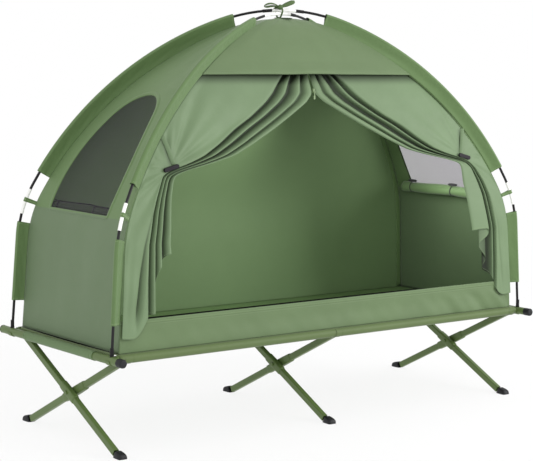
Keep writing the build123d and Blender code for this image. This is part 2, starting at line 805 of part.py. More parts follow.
# Toggles and straps that hold the curtains back
toggle_front = curtain_front(toggle_height - toggle_bar_height, left_hem) - toggle_pleat_room
toggle = extrude(
    RectangleRounded(toggle_length, toggle_bar_height, toggle_bar_corner), toggle_bar_depth
)
toggle = fillet(toggle.faces().sort_by(Axis.Z)[-1].edges(), toggle_bar_depth / 3)
toggle = Rot(90, 0, 0) * (Rot(0, 0, toggle_tilt) * toggle)
toggle = Pos(-toggle_reach, toggle_front, toggle_height) * toggle
save(group([toggle, mirror_x(toggle)]), "curtain_toggles")

strap_faces = []
strap_low_height = toggle_height + toggle_bar_height
strap_top_height = toggle_height + strap_rise
strap_top_reach = dome_s(strap_top_height, tent_inset) * along_x - 2 * strap_width
for step in range(strap_levels):
    part = step / (strap_levels - 1)
    height = strap_low_height + part * (strap_top_height - strap_low_height)
    x = -(toggle_reach + part * (strap_top_reach - toggle_reach))
    y = curtain_front(height, left_hem) - strap_stand_off - strap_thickness
    section = Rectangle(strap_width, strap_thickness)
    strap_faces.append(Pos(x, y + strap_thickness / 2, height) * section)
strap = loft(strap_faces, ruled=True)
save(group([strap, mirror_x(strap)]), "curtain_straps")

# Window flaps rolled down inside the end walls, and the ties round the rolls
roll_tie_inner = roll_radius + loose_clearance
tied_radius = roll_tie_inner + roll_tie_thickness + roll_wall_gap
roll_steps = [tied_radius * step / roll_samples for step in range(-roll_samples, roll_samples + 1)]
roll_x = min(
    dome_s(roll_height + rise, tent_inset) * along_x - (tied_radius**2 - rise**2) ** 0.5
    for rise in roll_steps
)
roll = tube_along("y", -roll_half_length, roll_half_length, roll_radius, 0)
roll = fillet(roll.edges().filter_by(GeomType.CIRCLE), roll_end_round)
roll_x -= wall_thickness
roll = Pos(roll_x, 0, roll_height) * roll
save(roll, "right_window_roll")
save(mirror_x(roll), "left_window_roll")
ties = []
for place in roll_tie_places:
    tie = tube_along(
        "y",
        place - roll_tie_width / 2,
        place + roll_tie_width / 2,
        roll_tie_inner + roll_tie_thickness,
        roll_tie_inner,
    )
    tail_top = Pos(-roll_tie_inner - roll_tie_thickness / 2, place, -roll_tie_tail / 2)
    tie += tail_top * Box(roll_tie_thickness, roll_tie_width / 2, roll_tie_tail)
    tie -= tube_along("y", -roll_half_length, roll_half_length, roll_tie_inner, 0)
    tie = Pos(roll_x, 0, roll_height) * tie
    ties += [tie, mirror_x(tie)]
save(group(ties), "window_roll_ties")

# Crown tie: a patch on the tent, a strap loop round both poles and a bow on top
tent_crown = dome_point(under_arcs, 90.0, tent_inset)[1]
visor_crown = tent_crown + visor_offset
over_crown = dome_point(over_arcs, 90.0, 0)[1]
patch_bottom = visor_crown + loose_clearance
loop_bottom = patch_bottom + tie_patch_thickness
loop_top = over_crown + ferrule_radius + tie_pole_gap + tie_thickness
loop_half = ferrule_radius / along_x + tie_width / 2 * end_ratio + tie_pole_gap
strap_ring = RectangleRounded(
    2 * (loop_half + tie_thickness), loop_top - loop_bottom, ferrule_radius / 2 + tie_thickness
) - RectangleRounded(2 * loop_half, loop_top - loop_bottom - 2 * tie_thickness, ferrule_radius / 2)
ring_plane = Plane(origin=(0, 0, (loop_top + loop_bottom) / 2), x_dir=(0, 1, 0), z_dir=(1, 0, 0))
crown_tie = extrude(ring_plane * strap_ring, tie_width / 2, both=True)
crown_tie += tube_along("z", patch_bottom, loop_bottom + tie_thickness / 2, tie_patch_radius, 0)
knot_height = loop_top + bow_knot_seat
knot = fillet(Box(2 * bow_knot_half, 2 * bow_knot_half, bow_knot_height).edges(), bow_knot_round)
crown_tie += Pos(0, 0, knot_height) * knot
petal = Ellipse(bow_loop_length / 2, bow_loop_height / 2)
petal -= Ellipse(bow_loop_length / 2 - tie_thickness, bow_loop_height / 2 - tie_thickness)
petal = Pos(bow_loop_length / 2, 0, 0) * petal
petal = Rot(90, 0, 0) * extrude(petal, tie_width / 2, both=True)
tail = Pos(bow_tail_length / 2, 0, 0) * Box(bow_tail_length, bow_tail_width, tie_thickness)
for turn in (0, 180):
    crown_tie += Pos(0, 0, knot_height) * (Rot(0, 0, turn) * (Rot(0, -bow_loop_rise, 0) * petal))
    crown_tie += Pos(0, 0, knot_height) * (Rot(0, 0, turn + bow_tail_turn) * tail)
save(crown_tie, "crown_tie")

# Zip slider under the visor where the curtains part, with its swinging pull
zip_height = swag_height(parting_drop) + zip_body_height / 2
zip_front = curtain_front(zip_height, left_hem)
zip_y = zip_front + curtain_thickness / 2
zip_body = Pos(0, zip_y, zip_height) * Box(2 * zip_body_half_width, zip_body_depth, zip_body_height)
zip_body = fillet(zip_body.edges(), zip_body_round)
pin_y = zip_y - zip_body_depth / 2 - zip_pin_radius - zip_pull_thickness
pin_z = zip_height - zip_body_height / 4
zip_pin = tube_along("x", -zip_body_half_width, zip_body_half_width, zip_pin_radius, 0)
lug_depth = zip_y - pin_y
for side in (1, -1):
    lug = Pos(side * (zip_body_half_width - zip_lug_wall / 2), (zip_y + pin_y) / 2, pin_z) * Box(
        zip_lug_wall, lug_depth, 2 * zip_pin_radius
    )
    lug += Pos(side * (zip_body_half_width - zip_lug_wall / 2), pin_y, pin_z) * tube_along(
        "x", -zip_lug_wall / 2, zip_lug_wall / 2, 2 * zip_pin_radius, 0
    )
    zip_body += lug
zip_body += Pos(0, pin_y, pin_z) * zip_pin
save(zip_body, "zip_slider")
eye_half = zip_body_half_width - zip_lug_wall - loose_clearance
eye_radius = zip_pin_radius + running_clearance + zip_pull_thickness / 2
pull = tube_along("x", -eye_half, eye_half, eye_radius, 0)
blade = Pos(0, 0, -zip_pull_length / 2) * Box(2 * eye_half, zip_pull_thickness, zip_pull_length)
pull += blade
grip_outline = RectangleRounded(zip_pull_width, zip_grip_length, zip_grip_corner)
grip_plate = Rot(90, 0, 0) * extrude(grip_outline, zip_pull_thickness / 2, both=True)
pull += Pos(0, 0, -zip_grip_drop) * grip_plate
pull -= tube_along("x", -zip_pull_width, zip_pull_width, zip_pin_radius + running_clearance, 0)
save(Pos(0, pin_y, pin_z) * pull, "zip_pull")

print("pivot height", round(pivot_height, 2), "leg rise", round(degrees(leg_rise), 2))
print("sheet top", round(sheet_top, 2), "zip pin", round(pin_y, 2), round(pin_z, 2))
print("tent crown", round(tent_crown, 1), "pole crown", round(over_crown, 1))
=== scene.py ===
"""Looks of a folding camp cot that carries a dome tent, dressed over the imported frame."""
import json
import logging
import math
from dataclasses import astuple, dataclass, field
from enum import Enum
from typing import Callable, Sequence, Union

import bpy
import numpy as np
from mathutils import Matrix, Vector


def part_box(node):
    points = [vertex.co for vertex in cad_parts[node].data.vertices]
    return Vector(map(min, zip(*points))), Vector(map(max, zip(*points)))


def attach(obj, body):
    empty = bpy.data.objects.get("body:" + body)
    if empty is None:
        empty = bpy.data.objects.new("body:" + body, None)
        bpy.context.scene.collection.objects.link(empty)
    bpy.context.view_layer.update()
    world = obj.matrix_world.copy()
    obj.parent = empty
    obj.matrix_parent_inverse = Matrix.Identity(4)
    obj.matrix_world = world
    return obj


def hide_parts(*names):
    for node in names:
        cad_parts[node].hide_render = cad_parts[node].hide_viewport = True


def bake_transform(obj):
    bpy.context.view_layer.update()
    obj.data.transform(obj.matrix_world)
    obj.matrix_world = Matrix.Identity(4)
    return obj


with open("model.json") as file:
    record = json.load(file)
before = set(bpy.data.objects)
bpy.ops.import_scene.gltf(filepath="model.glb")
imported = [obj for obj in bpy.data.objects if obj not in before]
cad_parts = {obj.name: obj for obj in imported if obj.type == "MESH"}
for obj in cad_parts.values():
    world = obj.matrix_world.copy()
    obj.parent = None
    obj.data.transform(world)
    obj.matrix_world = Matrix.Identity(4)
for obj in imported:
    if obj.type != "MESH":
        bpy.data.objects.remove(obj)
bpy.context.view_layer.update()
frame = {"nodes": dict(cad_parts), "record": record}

log = logging.getLogger("cot_tent")
Array = np.ndarray
Colour = tuple[float, float, float, float]
Arc = tuple[float, float, float, float, float]
CURVE_STEPS = 4000  # samples of a pole's curve, to read lengths off it
UP = np.array([0.0, 0.0, 1.0])


class Face(Enum):
    """Tent faces: the axis that a face looks along, and which way."""

    LEFT = (0, -1.0)
    RIGHT = (0, 1.0)
    FRONT = (1, -1.0)
    REAR = (1, 1.0)


class Pole(Enum):
    """The two crossing poles: which diagonal each stands in, and whether it crosses on top."""

    OVER = (-1.0, True)
    UNDER = (1.0, False)


class Side(Enum):
    """Ends of the bed, as the sign of X."""

    LEFT = -1.0
    RIGHT = 1.0


def srgb(red: int, green: int, blue: int) -> Colour:
    """Linear colour of an eight-bit screen colour."""
    screen = np.array([red, green, blue]) / 255.0
    linear = np.where(screen <= 0.04045, screen / 12.92, ((screen + 0.055) / 1.055) ** 2.4)
    return (float(linear[0]), float(linear[1]), float(linear[2]), 1.0)


def ramp(value: Array, low: float, high: float) -> Array:
    """Smooth step from 0 at low to 1 at high."""
    part = np.clip((value - low) / (high - low), 0.0, 1.0)
    return part * part * (3.0 - 2.0 * part)


def hump(value: Array, centre: float, width: float) -> Array:
    """Bell of height 1 round a centre."""
    return np.exp(-(((value - centre) / width) ** 2))


def unit(vectors: Array) -> Array:
    """Rows of vectors brought to length 1."""
    return vectors / np.linalg.norm(vectors, axis=1, keepdims=True)


def spread(*parts: Array) -> Array:
    """Points from their separate coordinates, each stretched to the shape that they share."""
    return np.stack(np.broadcast_arrays(*parts), axis=-1)


def full_turn(count: int) -> Array:
    """Angles of a circle in even steps, without the repeat at its end."""
    return np.linspace(0.0, 2.0 * math.pi, count + 1)[:-1]


def clustered(low: float, high: float, count: int, spots: Sequence[float], reach: float,
              extra: int) -> Array:
    """Even steps from low to high with extra ones round some spots.

    Args:
        low: first value.
        high: last value.
        count: number of even steps.
        spots: places that need finer steps.
        reach: half width of a fine stretch.
        extra: steps in a fine stretch.

    Returns:
        Sorted values without repeats.
    """
    fine = [np.clip(spot + np.linspace(-reach, reach, extra), low, high) for spot in spots]
    return np.unique(np.round(np.concatenate([np.linspace(low, high, count), *fine]), 6))


def smoothed(values: Array, reach: int) -> Array:
    """Moving average over 2 * reach + 1 samples, applied twice, with the ends held."""
    kernel = np.ones(2 * reach + 1) / (2 * reach + 1)
    for _ in range(2):
        values = np.convolve(np.pad(values, reach, mode="edge"), kernel, mode="valid")
    return values


def creases(u: Array, v: Array, seed: int, pitch: float, count: int) -> Array:
    """Soft crossing creases: a sum of sine ridges with seeded directions, about -1 to 1.

    Args:
        u: cloth coordinate across, in metres.
        v: cloth coordinate along, in metres.
        seed: start of the random draws.
        pitch: usual distance between ridges, in metres.
        count: number of ridge sets.

    Returns:
        Heights with the shape that u and v share.
    """
    draws = np.random.default_rng(seed)
    total = np.zeros(np.broadcast(u, v).shape)
    for turn, stretch, phase in draws.random((count, 3)):
        angle = turn * math.pi
        wave = 2.0 * math.pi / (pitch * (0.6 + 0.9 * stretch))
        total = total + np.sin(wave * (u * math.cos(angle) + v * math.sin(angle)) + 6.28 * phase)
    return total / count


@dataclass(frozen=True)
class Dome:
    """Curve of the tent poles and the tent faces that hang inside it.

    In a vertical diagonal plane a pole rises straight with a lean, then turns through three
    tangent arcs to the crown. s runs along the diagonal and z up. The tent seam is the curve of
    the lower pole set in by a fixed distance. A tent face draws that curve out sideways between
    two seams.
    """

    bar_reach: float = 0.950
    foot_across: float = 0.328
    foot_height: float = 0.345
    lean: float = 3.75
    straight_top: float = 0.6647
    rise: float = 0.0126
    shoulder_radius: float = 0.433
    haunch_lean: float = 28.46
    haunch_radius: float = 1.267
    crown_lean: float = 71.2
    inset: float = 0.036
    crown_lift: float = 0.016
    lift_reach: float = 0.55
    lift_margin: float = 0.02

    @property
    def foot_s(self) -> float:
        """Pole foot from the middle, along the diagonal."""
        return math.hypot(self.bar_reach, self.foot_across)

    @property
    def along(self) -> tuple[float, float]:
        """Share of the diagonal along X and along Y."""
        return self.bar_reach / self.foot_s, self.foot_across / self.foot_s

    def stretches(self, over: bool) -> tuple[float, list[Arc]]:
        """Length of the straight foot, and its arcs: centre s, centre z, radius, both leans."""
        low = math.radians(self.lean)
        z = self.straight_top + (self.rise if over else 0.0)
        foot = (z - self.foot_height) / math.cos(low)
        s = self.foot_s - foot * math.sin(low)
        arcs = []
        turns = (self.lean, self.haunch_lean, self.crown_lean, 90.0)
        leans = [math.radians(turn) for turn in turns]
        radii = (self.shoulder_radius, self.haunch_radius, 0.0)
        for radius, first, last in zip(radii, leans, leans[1:]):
            radius = radius or s / math.cos(first)
            centre_s, centre_z = s - radius * math.cos(first), z - radius * math.sin(first)
            arcs.append((centre_s, centre_z, radius, first, last))
            s, z = centre_s + radius * math.cos(last), centre_z + radius * math.sin(last)
        return foot, arcs

    def total(self, over: bool = False) -> float:
        """Length of a pole half along its axis."""
        foot, arcs = self.stretches(over)
        return foot + sum(radius * (last - first) for _, _, radius, first, last in arcs)

    def at(self, length: Array, inset: Union[float, Array],
           over: bool = False) -> tuple[Array, Array, Array]:
        """Curve at a length along the pole axis, set in.

        Args:
            length: length from the pole foot.
            inset: distance inside the pole axis.
            over: whether the pole is the one that crosses on top.

        Returns:
            s, z and lean in radians.
        """
        length = np.asarray(length, float)
        first_lean = math.radians(self.lean)
        foot, arcs = self.stretches(over)
        s = self.foot_s - length * math.sin(first_lean) - inset * math.cos(first_lean)
        z = self.foot_height + length * math.cos(first_lean) - inset * math.sin(first_lean)
        lean = np.full(length.shape, first_lean)
        begin = foot
        for centre_s, centre_z, radius, first, last in arcs:
            turn = np.minimum(first + (length - begin) / radius, math.pi / 2)
            inside = length >= begin
            s = np.where(inside, centre_s + (radius - inset) * np.cos(turn), s)
            z = np.where(inside, centre_z + (radius - inset) * np.sin(turn), z)
            lean = np.where(inside, turn, lean)
            begin += radius * (last - first)
        return s, z, lean

    def drawn_inset(self, length: Array) -> Array:
        """Distance of the cloth inside the pole axis: less near the crown, where it's drawn up."""
        total = self.total()
        drawn = ramp(np.asarray(length, float), total - self.lift_reach, total - self.lift_margin)
        return self.inset - self.crown_lift * drawn

    def length_at(self, height: Array, inset: float, over: bool = False) -> Array:
        """Length along the pole axis where the set-in curve reaches a height."""
        steps = np.linspace(0.0, self.total(over), CURVE_STEPS)
        return np.interp(height, self.at(steps, inset, over)[1], steps)

    def seam_length(self, height: float) -> float:
        """Length along the pole axis where the tent seam reaches a height."""
        return float(self.length_at(height, self.inset))

    def seam(self, height: Array) -> Array:
        """Distance of the tent seam from the middle, along the diagonal, at a height."""
        return self.at(self.length_at(height, self.inset), self.inset)[0]

    def on_end(self, y: Array, z: Array) -> tuple[Array, Array]:
        """Length along the seam and place across an end face, for places in y and z."""
        return self.length_at(z, self.inset), y / (self.seam(z) * self.along[1])

    def face(self, face: Face, length: Array, across: Array, offset: Array) -> Array:
        """Point of a tent face: the seam curve drawn onto the face's axis, moved along its normal.

        Args:
            face: tent face.
            length: length along the pole axis.
            across: -1 to 1 from one corner seam to the other.
            offset: distance outside the face.

        Returns:
            Places with a last axis of x, y, z.
        """
        axis, way = face.value
        out_share, side_share = self.along[axis], self.along[1 - axis]
        s, z, lean = self.at(length, self.drawn_inset(length))
        out, up = np.cos(lean), out_share * np.sin(lean)
        size = np.hypot(out, up)
        outward = way * (out_share * s + offset * out / size)
        sideways = across * side_share * s
        height = z + offset * up / size
        place = (outward, sideways, height) if axis == 0 else (sideways, outward, height)
        return spread(*place)

    def pole_frame(self, pole: Pole, end: float,
                   length: Array) -> tuple[Array, Array, Array, Array]:
        """Axis point, outward normal, sideways direction and lean along a pole half."""
        sign, over = pole.value
        x_share, y_share = self.along
        s, z, lean = self.at(length, 0.0, over)
        flat = np.array([end * x_share, end * sign * y_share, 0.0])
        point = s[:, None] * flat + z[:, None] * UP
        normal = np.cos(lean)[:, None] * flat + np.sin(lean)[:, None] * UP
        sideways = np.cross(UP, flat)
        return point, normal, np.broadcast_to(sideways, point.shape), lean


DOME = Dome()


@dataclass
class Grid:
    """Rows and columns of points that become quads, with cloth coordinates in metres."""

    points: Array
    wrap_rows: bool = False
    wrap_cols: bool = False
    shade: Array | None = None
    hem: Array | None = None
    finish: int = 0

    def cloth_map(self) -> Array:
        """Lengths along the rows and columns, measured from the middle of each row."""
        points = self.points
        if self.wrap_cols:
            points = np.concatenate([points, points[:, :1]], axis=1)
        if self.wrap_rows:
            points = np.concatenate([points, points[:1]], axis=0)
        across = np.linalg.norm(np.diff(points, axis=1), axis=2)
        across = np.concatenate([np.zeros((len(points), 1)), np.cumsum(across, axis=1)], axis=1)
        across -= across[:, -1:] / 2
        along = np.linalg.norm(np.diff(points, axis=0), axis=2).mean(axis=1)
        along = np.concatenate([[0.0], np.cumsum(along)])
        return spread(across, along[:, None])

    def quads(self) -> tuple[Array, Array]:
        """Corner numbers of each quad, in points and in the cloth map."""
        rows, cols = self.points.shape[:2]
        r = np.arange(rows if self.wrap_rows else rows - 1)[:, None]
        c = np.arange(cols if self.wrap_cols else cols - 1)[None, :]
        steps = ((0, 0), (0, 1), (1, 1), (1, 0))
        width = cols + (1 if self.wrap_cols else 0)
        corners = np.stack([((r + i) % rows) * cols + (c + j) % cols for i, j in steps], axis=-1)
        places = np.stack([(r + i) * width + c + j for i, j in steps], axis=-1)
        return corners.reshape(-1, 4), places.reshape(-1, 4)


def mesh_piece(name: str, grids: Sequence[Grid], flip: bool = False) -> bpy.types.Object:
    """One object from grids of points, with a cloth map, a hem map and a shade attribute.

    Args:
        name: object name.
        grids: separate or touching grids.
        flip: turn the faces over.

    Returns:
        The new object, at the origin.
    """
    points, corners, cloth, hems, shades, finishes = [], [], [], [], [], []
    count = 0
    for grid in grids:
        quads, places = grid.quads()
        size = grid.points.shape[0] * grid.points.shape[1]
        order = [3, 2, 1, 0] if flip else [0, 1, 2, 3]
        corners.append(quads[:, order] + count)
        cloth.append(grid.cloth_map().reshape(-1, 2)[places[:, order]])
        hem = np.zeros((size, 2)) if grid.hem is None else grid.hem.reshape(-1, 2)
        hems.append(hem[quads[:, order]])
        shades.append(np.zeros(size) if grid.shade is None else grid.shade.reshape(-1))
        points.append(grid.points.reshape(-1, 3))
        finishes.append(np.full(len(quads), grid.finish, np.int32))
        count += size
    vertices, faces = np.concatenate(points), np.concatenate(corners)
    mesh = bpy.data.meshes.new(name)
    mesh.vertices.add(len(vertices))
    mesh.vertices.foreach_set("co", vertices.astype(np.float32).ravel())
    mesh.loops.add(faces.size)
    mesh.loops.foreach_set("vertex_index", faces.astype(np.int32).ravel())
    mesh.polygons.add(len(faces))
    mesh.polygons.foreach_set("loop_start", np.arange(0, faces.size, 4, dtype=np.int32))
    mesh.polygons.foreach_set("use_smooth", np.ones(len(faces), bool))
    mesh.polygons.foreach_set("material_index", np.concatenate(finishes))
    for map_name, values in (("cloth", cloth), ("hem", hems)):
        layer = mesh.uv_layers.new(name=map_name)
        layer.uv.foreach_set("vector", np.concatenate(values).astype(np.float32).ravel())
    shade = mesh.attributes.new("shade", "FLOAT", "POINT")
    shade.data.foreach_set("value", np.concatenate(shades).astype(np.float32))
    mesh.update(calc_edges=True)
    mesh.validate()
    piece = bpy.data.objects.new(name, mesh)
    bpy.context.scene.collection.objects.link(piece)
    return piece


def thicken(piece: bpy.types.Object, thickness: float, offset: float = 0.0) -> None:
    """Give a sheet its thickness with a Solidify modifier."""
    modifier = piece.modifiers.new("thickness", "SOLIDIFY")
    modifier.thickness = thickness
    modifier.offset = offset


def hang(piece: bpy.types.Object, body: str, node: str, thickness: float = 0.0,
         offset: float = 0.0) -> None:
    """Ride a new piece on a body and put it in place of a CAD node.

    Args:
        piece: the piece.
        body: body that it moves with.
        node: CAD node that it stands for.
        thickness: thickness of its cloth, or 0 where the piece has none of its own.
        offset: side that the thickness grows to, from -1 to 1.
    """
    if thickness > 0.0:
        thicken(piece, thickness, offset)
    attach(piece, body)
    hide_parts(node)
    log.info("%s: %d points, for %s", piece.name, len(piece.data.vertices), node)


def ribbon(path: Array, across: Array, width: float, columns: int = 5) -> Grid:
    """Tape of a width: a straight line across carried along a path.

    Args:
        path: middle line, points by 3.
        across: unit direction across the tape at each point.
        width: tape width.
        columns: points across.

    Returns:
        The grid of the tape.
    """
    steps = np.linspace(-0.5, 0.5, columns)[None, :, None] * width
    return Grid(path[:, None, :] + steps * across[:, None, :])


Value = Union["Signal", float, int]
Paint = Union["Signal", Colour]


class Signal:
    """A value on a node's socket. Python's operators add Math nodes."""

    def __init__(self, graph: "Graph", socket: bpy.types.NodeSocket) -> None:
        """Keep the graph and the socket."""
        self.graph = graph
        self.socket = socket

    def __add__(self, other: Value) -> "Signal":
        """Sum."""
        return self.graph.math("ADD", self, other)

    __radd__ = __add__

    def __sub__(self, other: Value) -> "Signal":
        """Difference."""
        return self.graph.math("SUBTRACT", self, other)

    def __rsub__(self, other: Value) -> "Signal":
        """Difference with a number first."""
        return self.graph.math("SUBTRACT", other, self)

    def __mul__(self, other: Value) -> "Signal":
        """Product."""
        return self.graph.math("MULTIPLY", self, other)

    __rmul__ = __mul__

    def __truediv__(self, other: Value) -> "Signal":
        """Quotient."""
        return self.graph.math("DIVIDE", self, other)


class Graph:
    """Node tree of one material."""

    def __init__(self, name: str) -> None:
        """Make an empty material."""
        self.material = bpy.data.materials.new(name)
        self.material.use_nodes = True
        self.tree = self.material.node_tree
        self.tree.nodes.clear()

    def node(self, kind: str, settings: dict | None = None,
             inputs: dict | None = None) -> bpy.types.Node:
        """Add a node.

        Args:
            kind: node type.
            settings: attributes, set first.
            inputs: socket values or links by name or number.

        Returns:
            The node.
        """
        made = self.tree.nodes.new(kind)
        for key, value in (settings or {}).items():
            setattr(made, key, value)
        for key, value in (inputs or {}).items():
            if isinstance(value, Signal):
                self.tree.links.new(value.socket, made.inputs[key])
            else:
                made.inputs[key].default_value = value
        return made

    def signal(self, kind: str, output: Union[int, str], settings: dict | None = None,
               inputs: dict | None = None) -> Signal:
        """Add a node and take one of its outputs."""
        return Signal(self, self.node(kind, settings, inputs).outputs[output])

    def math(self, operation: str, *values: Value) -> Signal:
        """Math node on values."""
        return self.signal("ShaderNodeMath", 0, {"operation": operation}, dict(enumerate(values)))

    def place(self) -> Signal:
        """Object coordinates."""
        return self.signal("ShaderNodeTexCoord", "Object")

    def cloth(self, name: str = "cloth") -> Signal:
        """One of the piece's own maps, in metres."""
        return self.signal("ShaderNodeUVMap", 0, {"uv_map": name})

    def parts(self, vector: Signal) -> tuple[Signal, Signal, Signal]:
        """The three numbers of a vector."""
        x, y, z = self.node("ShaderNodeSeparateXYZ", None, {0: vector}).outputs
        return Signal(self, x), Signal(self, y), Signal(self, z)

    def stretched(self, vector: Signal, scale: tuple[float, float, float]) -> Signal:
        """Vector scaled along its axes."""
        inputs = {0: vector, 1: scale}
        return self.signal("ShaderNodeVectorMath", 0, {"operation": "MULTIPLY"}, inputs)

    def noise(self, vector: Signal, scale: float, detail: float = 2.0,
              rough: float = 0.5) -> Signal:
        """Noise from 0 to 1."""
        inputs = {"Vector": vector, "Scale": scale, "Detail": detail, "Roughness": rough}
        return self.signal("ShaderNodeTexNoise", 0, None, inputs)

    def step(self, value: Value, low: float, high: float) -> Signal:
        """Smooth step from 0 at low to 1 at high."""
        inputs = {0: value, 1: low, 2: high, 3: 0.0, 4: 1.0}
        return self.signal("ShaderNodeMapRange", 0, {"interpolation_type": "SMOOTHSTEP"}, inputs)

    def mix(self, part: Value, first: Paint, second: Paint) -> Signal:
        """Mix of two colours."""
        inputs = {0: part, 6: first, 7: second}
        return self.signal("ShaderNodeMix", 2, {"data_type": "RGBA"}, inputs)

    def bump(self, height: Signal) -> Signal:
        """Normal of a height in metres."""
        inputs = {"Strength": 1.0, "Distance": 1.0, "Height": height}
        return self.signal("ShaderNodeBump", 0, None, inputs)

    def finish(self, inputs: dict) -> bpy.types.Material:
        """Close the tree with a principled shader."""
        shader = self.node("ShaderNodeBsdfPrincipled", None, inputs)
        self.node("ShaderNodeOutputMaterial", None, {"Surface": Signal(self, shader.outputs[0])})
        return self.material


@dataclass(frozen=True)
class Cloth:
    """Coated plain-weave cloth with mottling, slubs, faint creases and rows of stitching.

    The weave is the product of two sine waves at the thread pitch. Where a piece holds the shade
    attribute, the colour turns towards the deep colour: painted shade in its folds and painted
    shadows cast on it. The deep colour also takes the random mottling.
    """

    name: str
    lit: Colour
    deep: Colour
    thread: Colour
    lower: Colour | None = None
    lower_top: float = 0.780
    specular: float = 0.32
    roughness: float = 0.58
    sheen: float = 0.18
    pitch: float = 0.0013
    weave: float = 0.00003
    crease: float = 0.0006
    stitch_offset: float = 0.006
    stitch_length: float = 0.0045

    def material(self) -> bpy.types.Material:
        """Build the cloth."""
        graph = Graph(self.name)
        cloth, place = graph.cloth(), graph.place()
        u, v, _ = graph.parts(cloth)
        wave = 2.0 * math.pi / self.pitch
        weave = graph.math("SINE", u * wave) * graph.math("SINE", v * wave)
        slub = graph.noise(graph.stretched(cloth, (1400.0, 60.0, 1.0)), 1.0) - 0.5
        cross_slub = graph.noise(graph.stretched(cloth, (60.0, 1400.0, 1.0)), 1.0) - 0.5
        mottle = graph.noise(place, 4.5, 3.0, 0.55)
        crumple = graph.noise(place, 21.0, 4.0, 0.6)
        shade = graph.signal("ShaderNodeAttribute", "Fac", {"attribute_name": "shade"})
        hem, along, _ = graph.parts(graph.cloth("hem"))
        row = graph.math("COMPARE", hem, self.stitch_offset, 0.0007)
        dash = graph.math("LESS_THAN", graph.math("FRACT", along / self.stitch_length), 0.62)
        stitch = row * dash
        tone = graph.step(mottle + 0.25 * crumple, 0.36, 0.86)
        base: Paint = self.lit
        if self.lower is not None:
            _, _, height = graph.parts(place)
            upper = graph.step(height, self.lower_top - 0.001, self.lower_top + 0.001)
            base = graph.mix(upper, self.lower, self.lit)
        colour = graph.mix(tone * 0.10, base, self.deep)
        colour = graph.mix(graph.step(slub + cross_slub, 0.0, 0.5) * 0.10, colour, self.thread)
        # painted shade: the shade attribute turns the colour towards the deep colour
        colour = graph.mix(graph.math("MINIMUM", shade, 1.0), colour, self.deep)
        colour = graph.mix(stitch * 0.7, colour, self.thread)
        height = weave * self.weave + (slub + cross_slub) * 0.00005
        height = height + (crumple - 0.5) * self.crease - stitch * 0.0002
        return graph.finish({
            "Base Color": colour,
            "Roughness": self.roughness + (crumple - 0.5) * 0.16,
            "Normal": graph.bump(height),
            "Sheen Weight": self.sheen,
            "Sheen Roughness": 0.45,
            "Specular IOR Level": self.specular,
        })


@dataclass(frozen=True)
class Net:
    """Fine knitted net: a grid of threads with open holes between them.

    The holes are seen through by the alpha, and wear a darker colour than the threads.
    """

    name: str
    colour: Colour
    hole: Colour
    pitch: float = 0.0016
    cover: float = 0.60

    def material(self) -> bpy.types.Material:
        """Build the net."""
        graph = Graph(self.name)
        u, v, _ = graph.parts(graph.cloth())
        wave = math.pi / self.pitch
        across = graph.math("ABSOLUTE", graph.math("SINE", u * wave))
        along = graph.math("ABSOLUTE", graph.math("SINE", v * wave))
        hole = graph.step(across * along, 0.15, 0.65)
        uneven = graph.noise(graph.place(), 9.0)
        alpha = self.cover + (0.5 - hole) * 0.24 + (uneven - 0.5) * 0.04
        return graph.finish({
            "Base Color": graph.mix(hole, self.colour, self.hole),
            "Alpha": graph.math("MINIMUM", alpha, 0.97),
            "Roughness": 0.7 + 0.1 * uneven,
            "Specular IOR Level": 0.2,
        })


@dataclass(frozen=True)
class Coating:
    """Powder coat on tube: orange peel, slight tone changes and rubbed, duller patches."""

    name: str
    colour: Colour
    worn: Colour
    roughness: float = 0.42

    def material(self) -> bpy.types.Material:
        """Build the coating."""
        graph = Graph(self.name)
        place = graph.place()
        peel = graph.noise(place, 420.0, 2.0)
        cloud = graph.noise(place, 7.0, 4.0, 0.6)
        rub = graph.step(graph.noise(place, 38.0, 5.0, 0.7), 0.62, 0.80)
        colour = graph.mix(graph.step(cloud, 0.3, 0.8) * 0.35 + rub * 0.18, self.colour, self.worn)
        return graph.finish({
            "Base Color": colour,
            "Roughness": self.roughness + (cloud - 0.5) * 0.14 + rub * 0.08,
            "Normal": graph.bump(peel * 0.00006 + rub * 0.00004),
            "Coat Roughness": 0.3,
            "Coat Weight": 0.06 - rub * 0.04,
            "Specular IOR Level": 0.3,
        })


@dataclass(frozen=True)
class Moulded:
    """Moulded plastic with a fine spark texture and dusty, rubbed tones."""

    name: str
    colour: Colour
    rubbed: Colour
    roughness: float = 0.5
    grain: float = 0.00006

    def material(self) -> bpy.types.Material:
        """Build the plastic."""
        graph = Graph(self.name)
        place = graph.place()
        spark = graph.noise(place, 900.0, 2.0)
        dust = graph.step(graph.noise(place, 26.0, 4.0, 0.65), 0.45, 0.85)
        return graph.finish({
            "Base Color": graph.mix(dust * 0.5, self.colour, self.rubbed),
            "Roughness": self.roughness + dust * 0.14,
            "Normal": graph.bump(spark * self.grain),
            "Specular IOR Level": 0.24,
        })


POLE_WHITE, POLE_BLACK = srgb(240, 240, 237), srgb(18, 17, 19)


@dataclass(frozen=True)
class Skinned:
    """Pole fitting: white on a stretch of the crown, black beside it, another colour lower."""

    name: str
    lower: Colour
    white: tuple[float, float]
    low: float = 1.2
    blend: float = 0.0004

    def material(self) -> bpy.types.Material:
        """Build the fitting."""
        graph = Graph(self.name)
        place = graph.place()
        x, _, height = graph.parts(place)
        dust = graph.noise(place, 60.0, 3.0)
        first, last = (graph.step(x, edge - self.blend, edge + self.blend) for edge in self.white)
        crown = graph.mix(first * (1.0 - last), POLE_BLACK, POLE_WHITE)
        up = graph.step(height, self.low - self.blend, self.low + self.blend)
        return graph.finish({
            "Base Color": graph.mix(up, self.lower, crown),
            "Roughness": 0.34 + dust * 0.12,
            "Specular IOR Level": 0.3,
        })


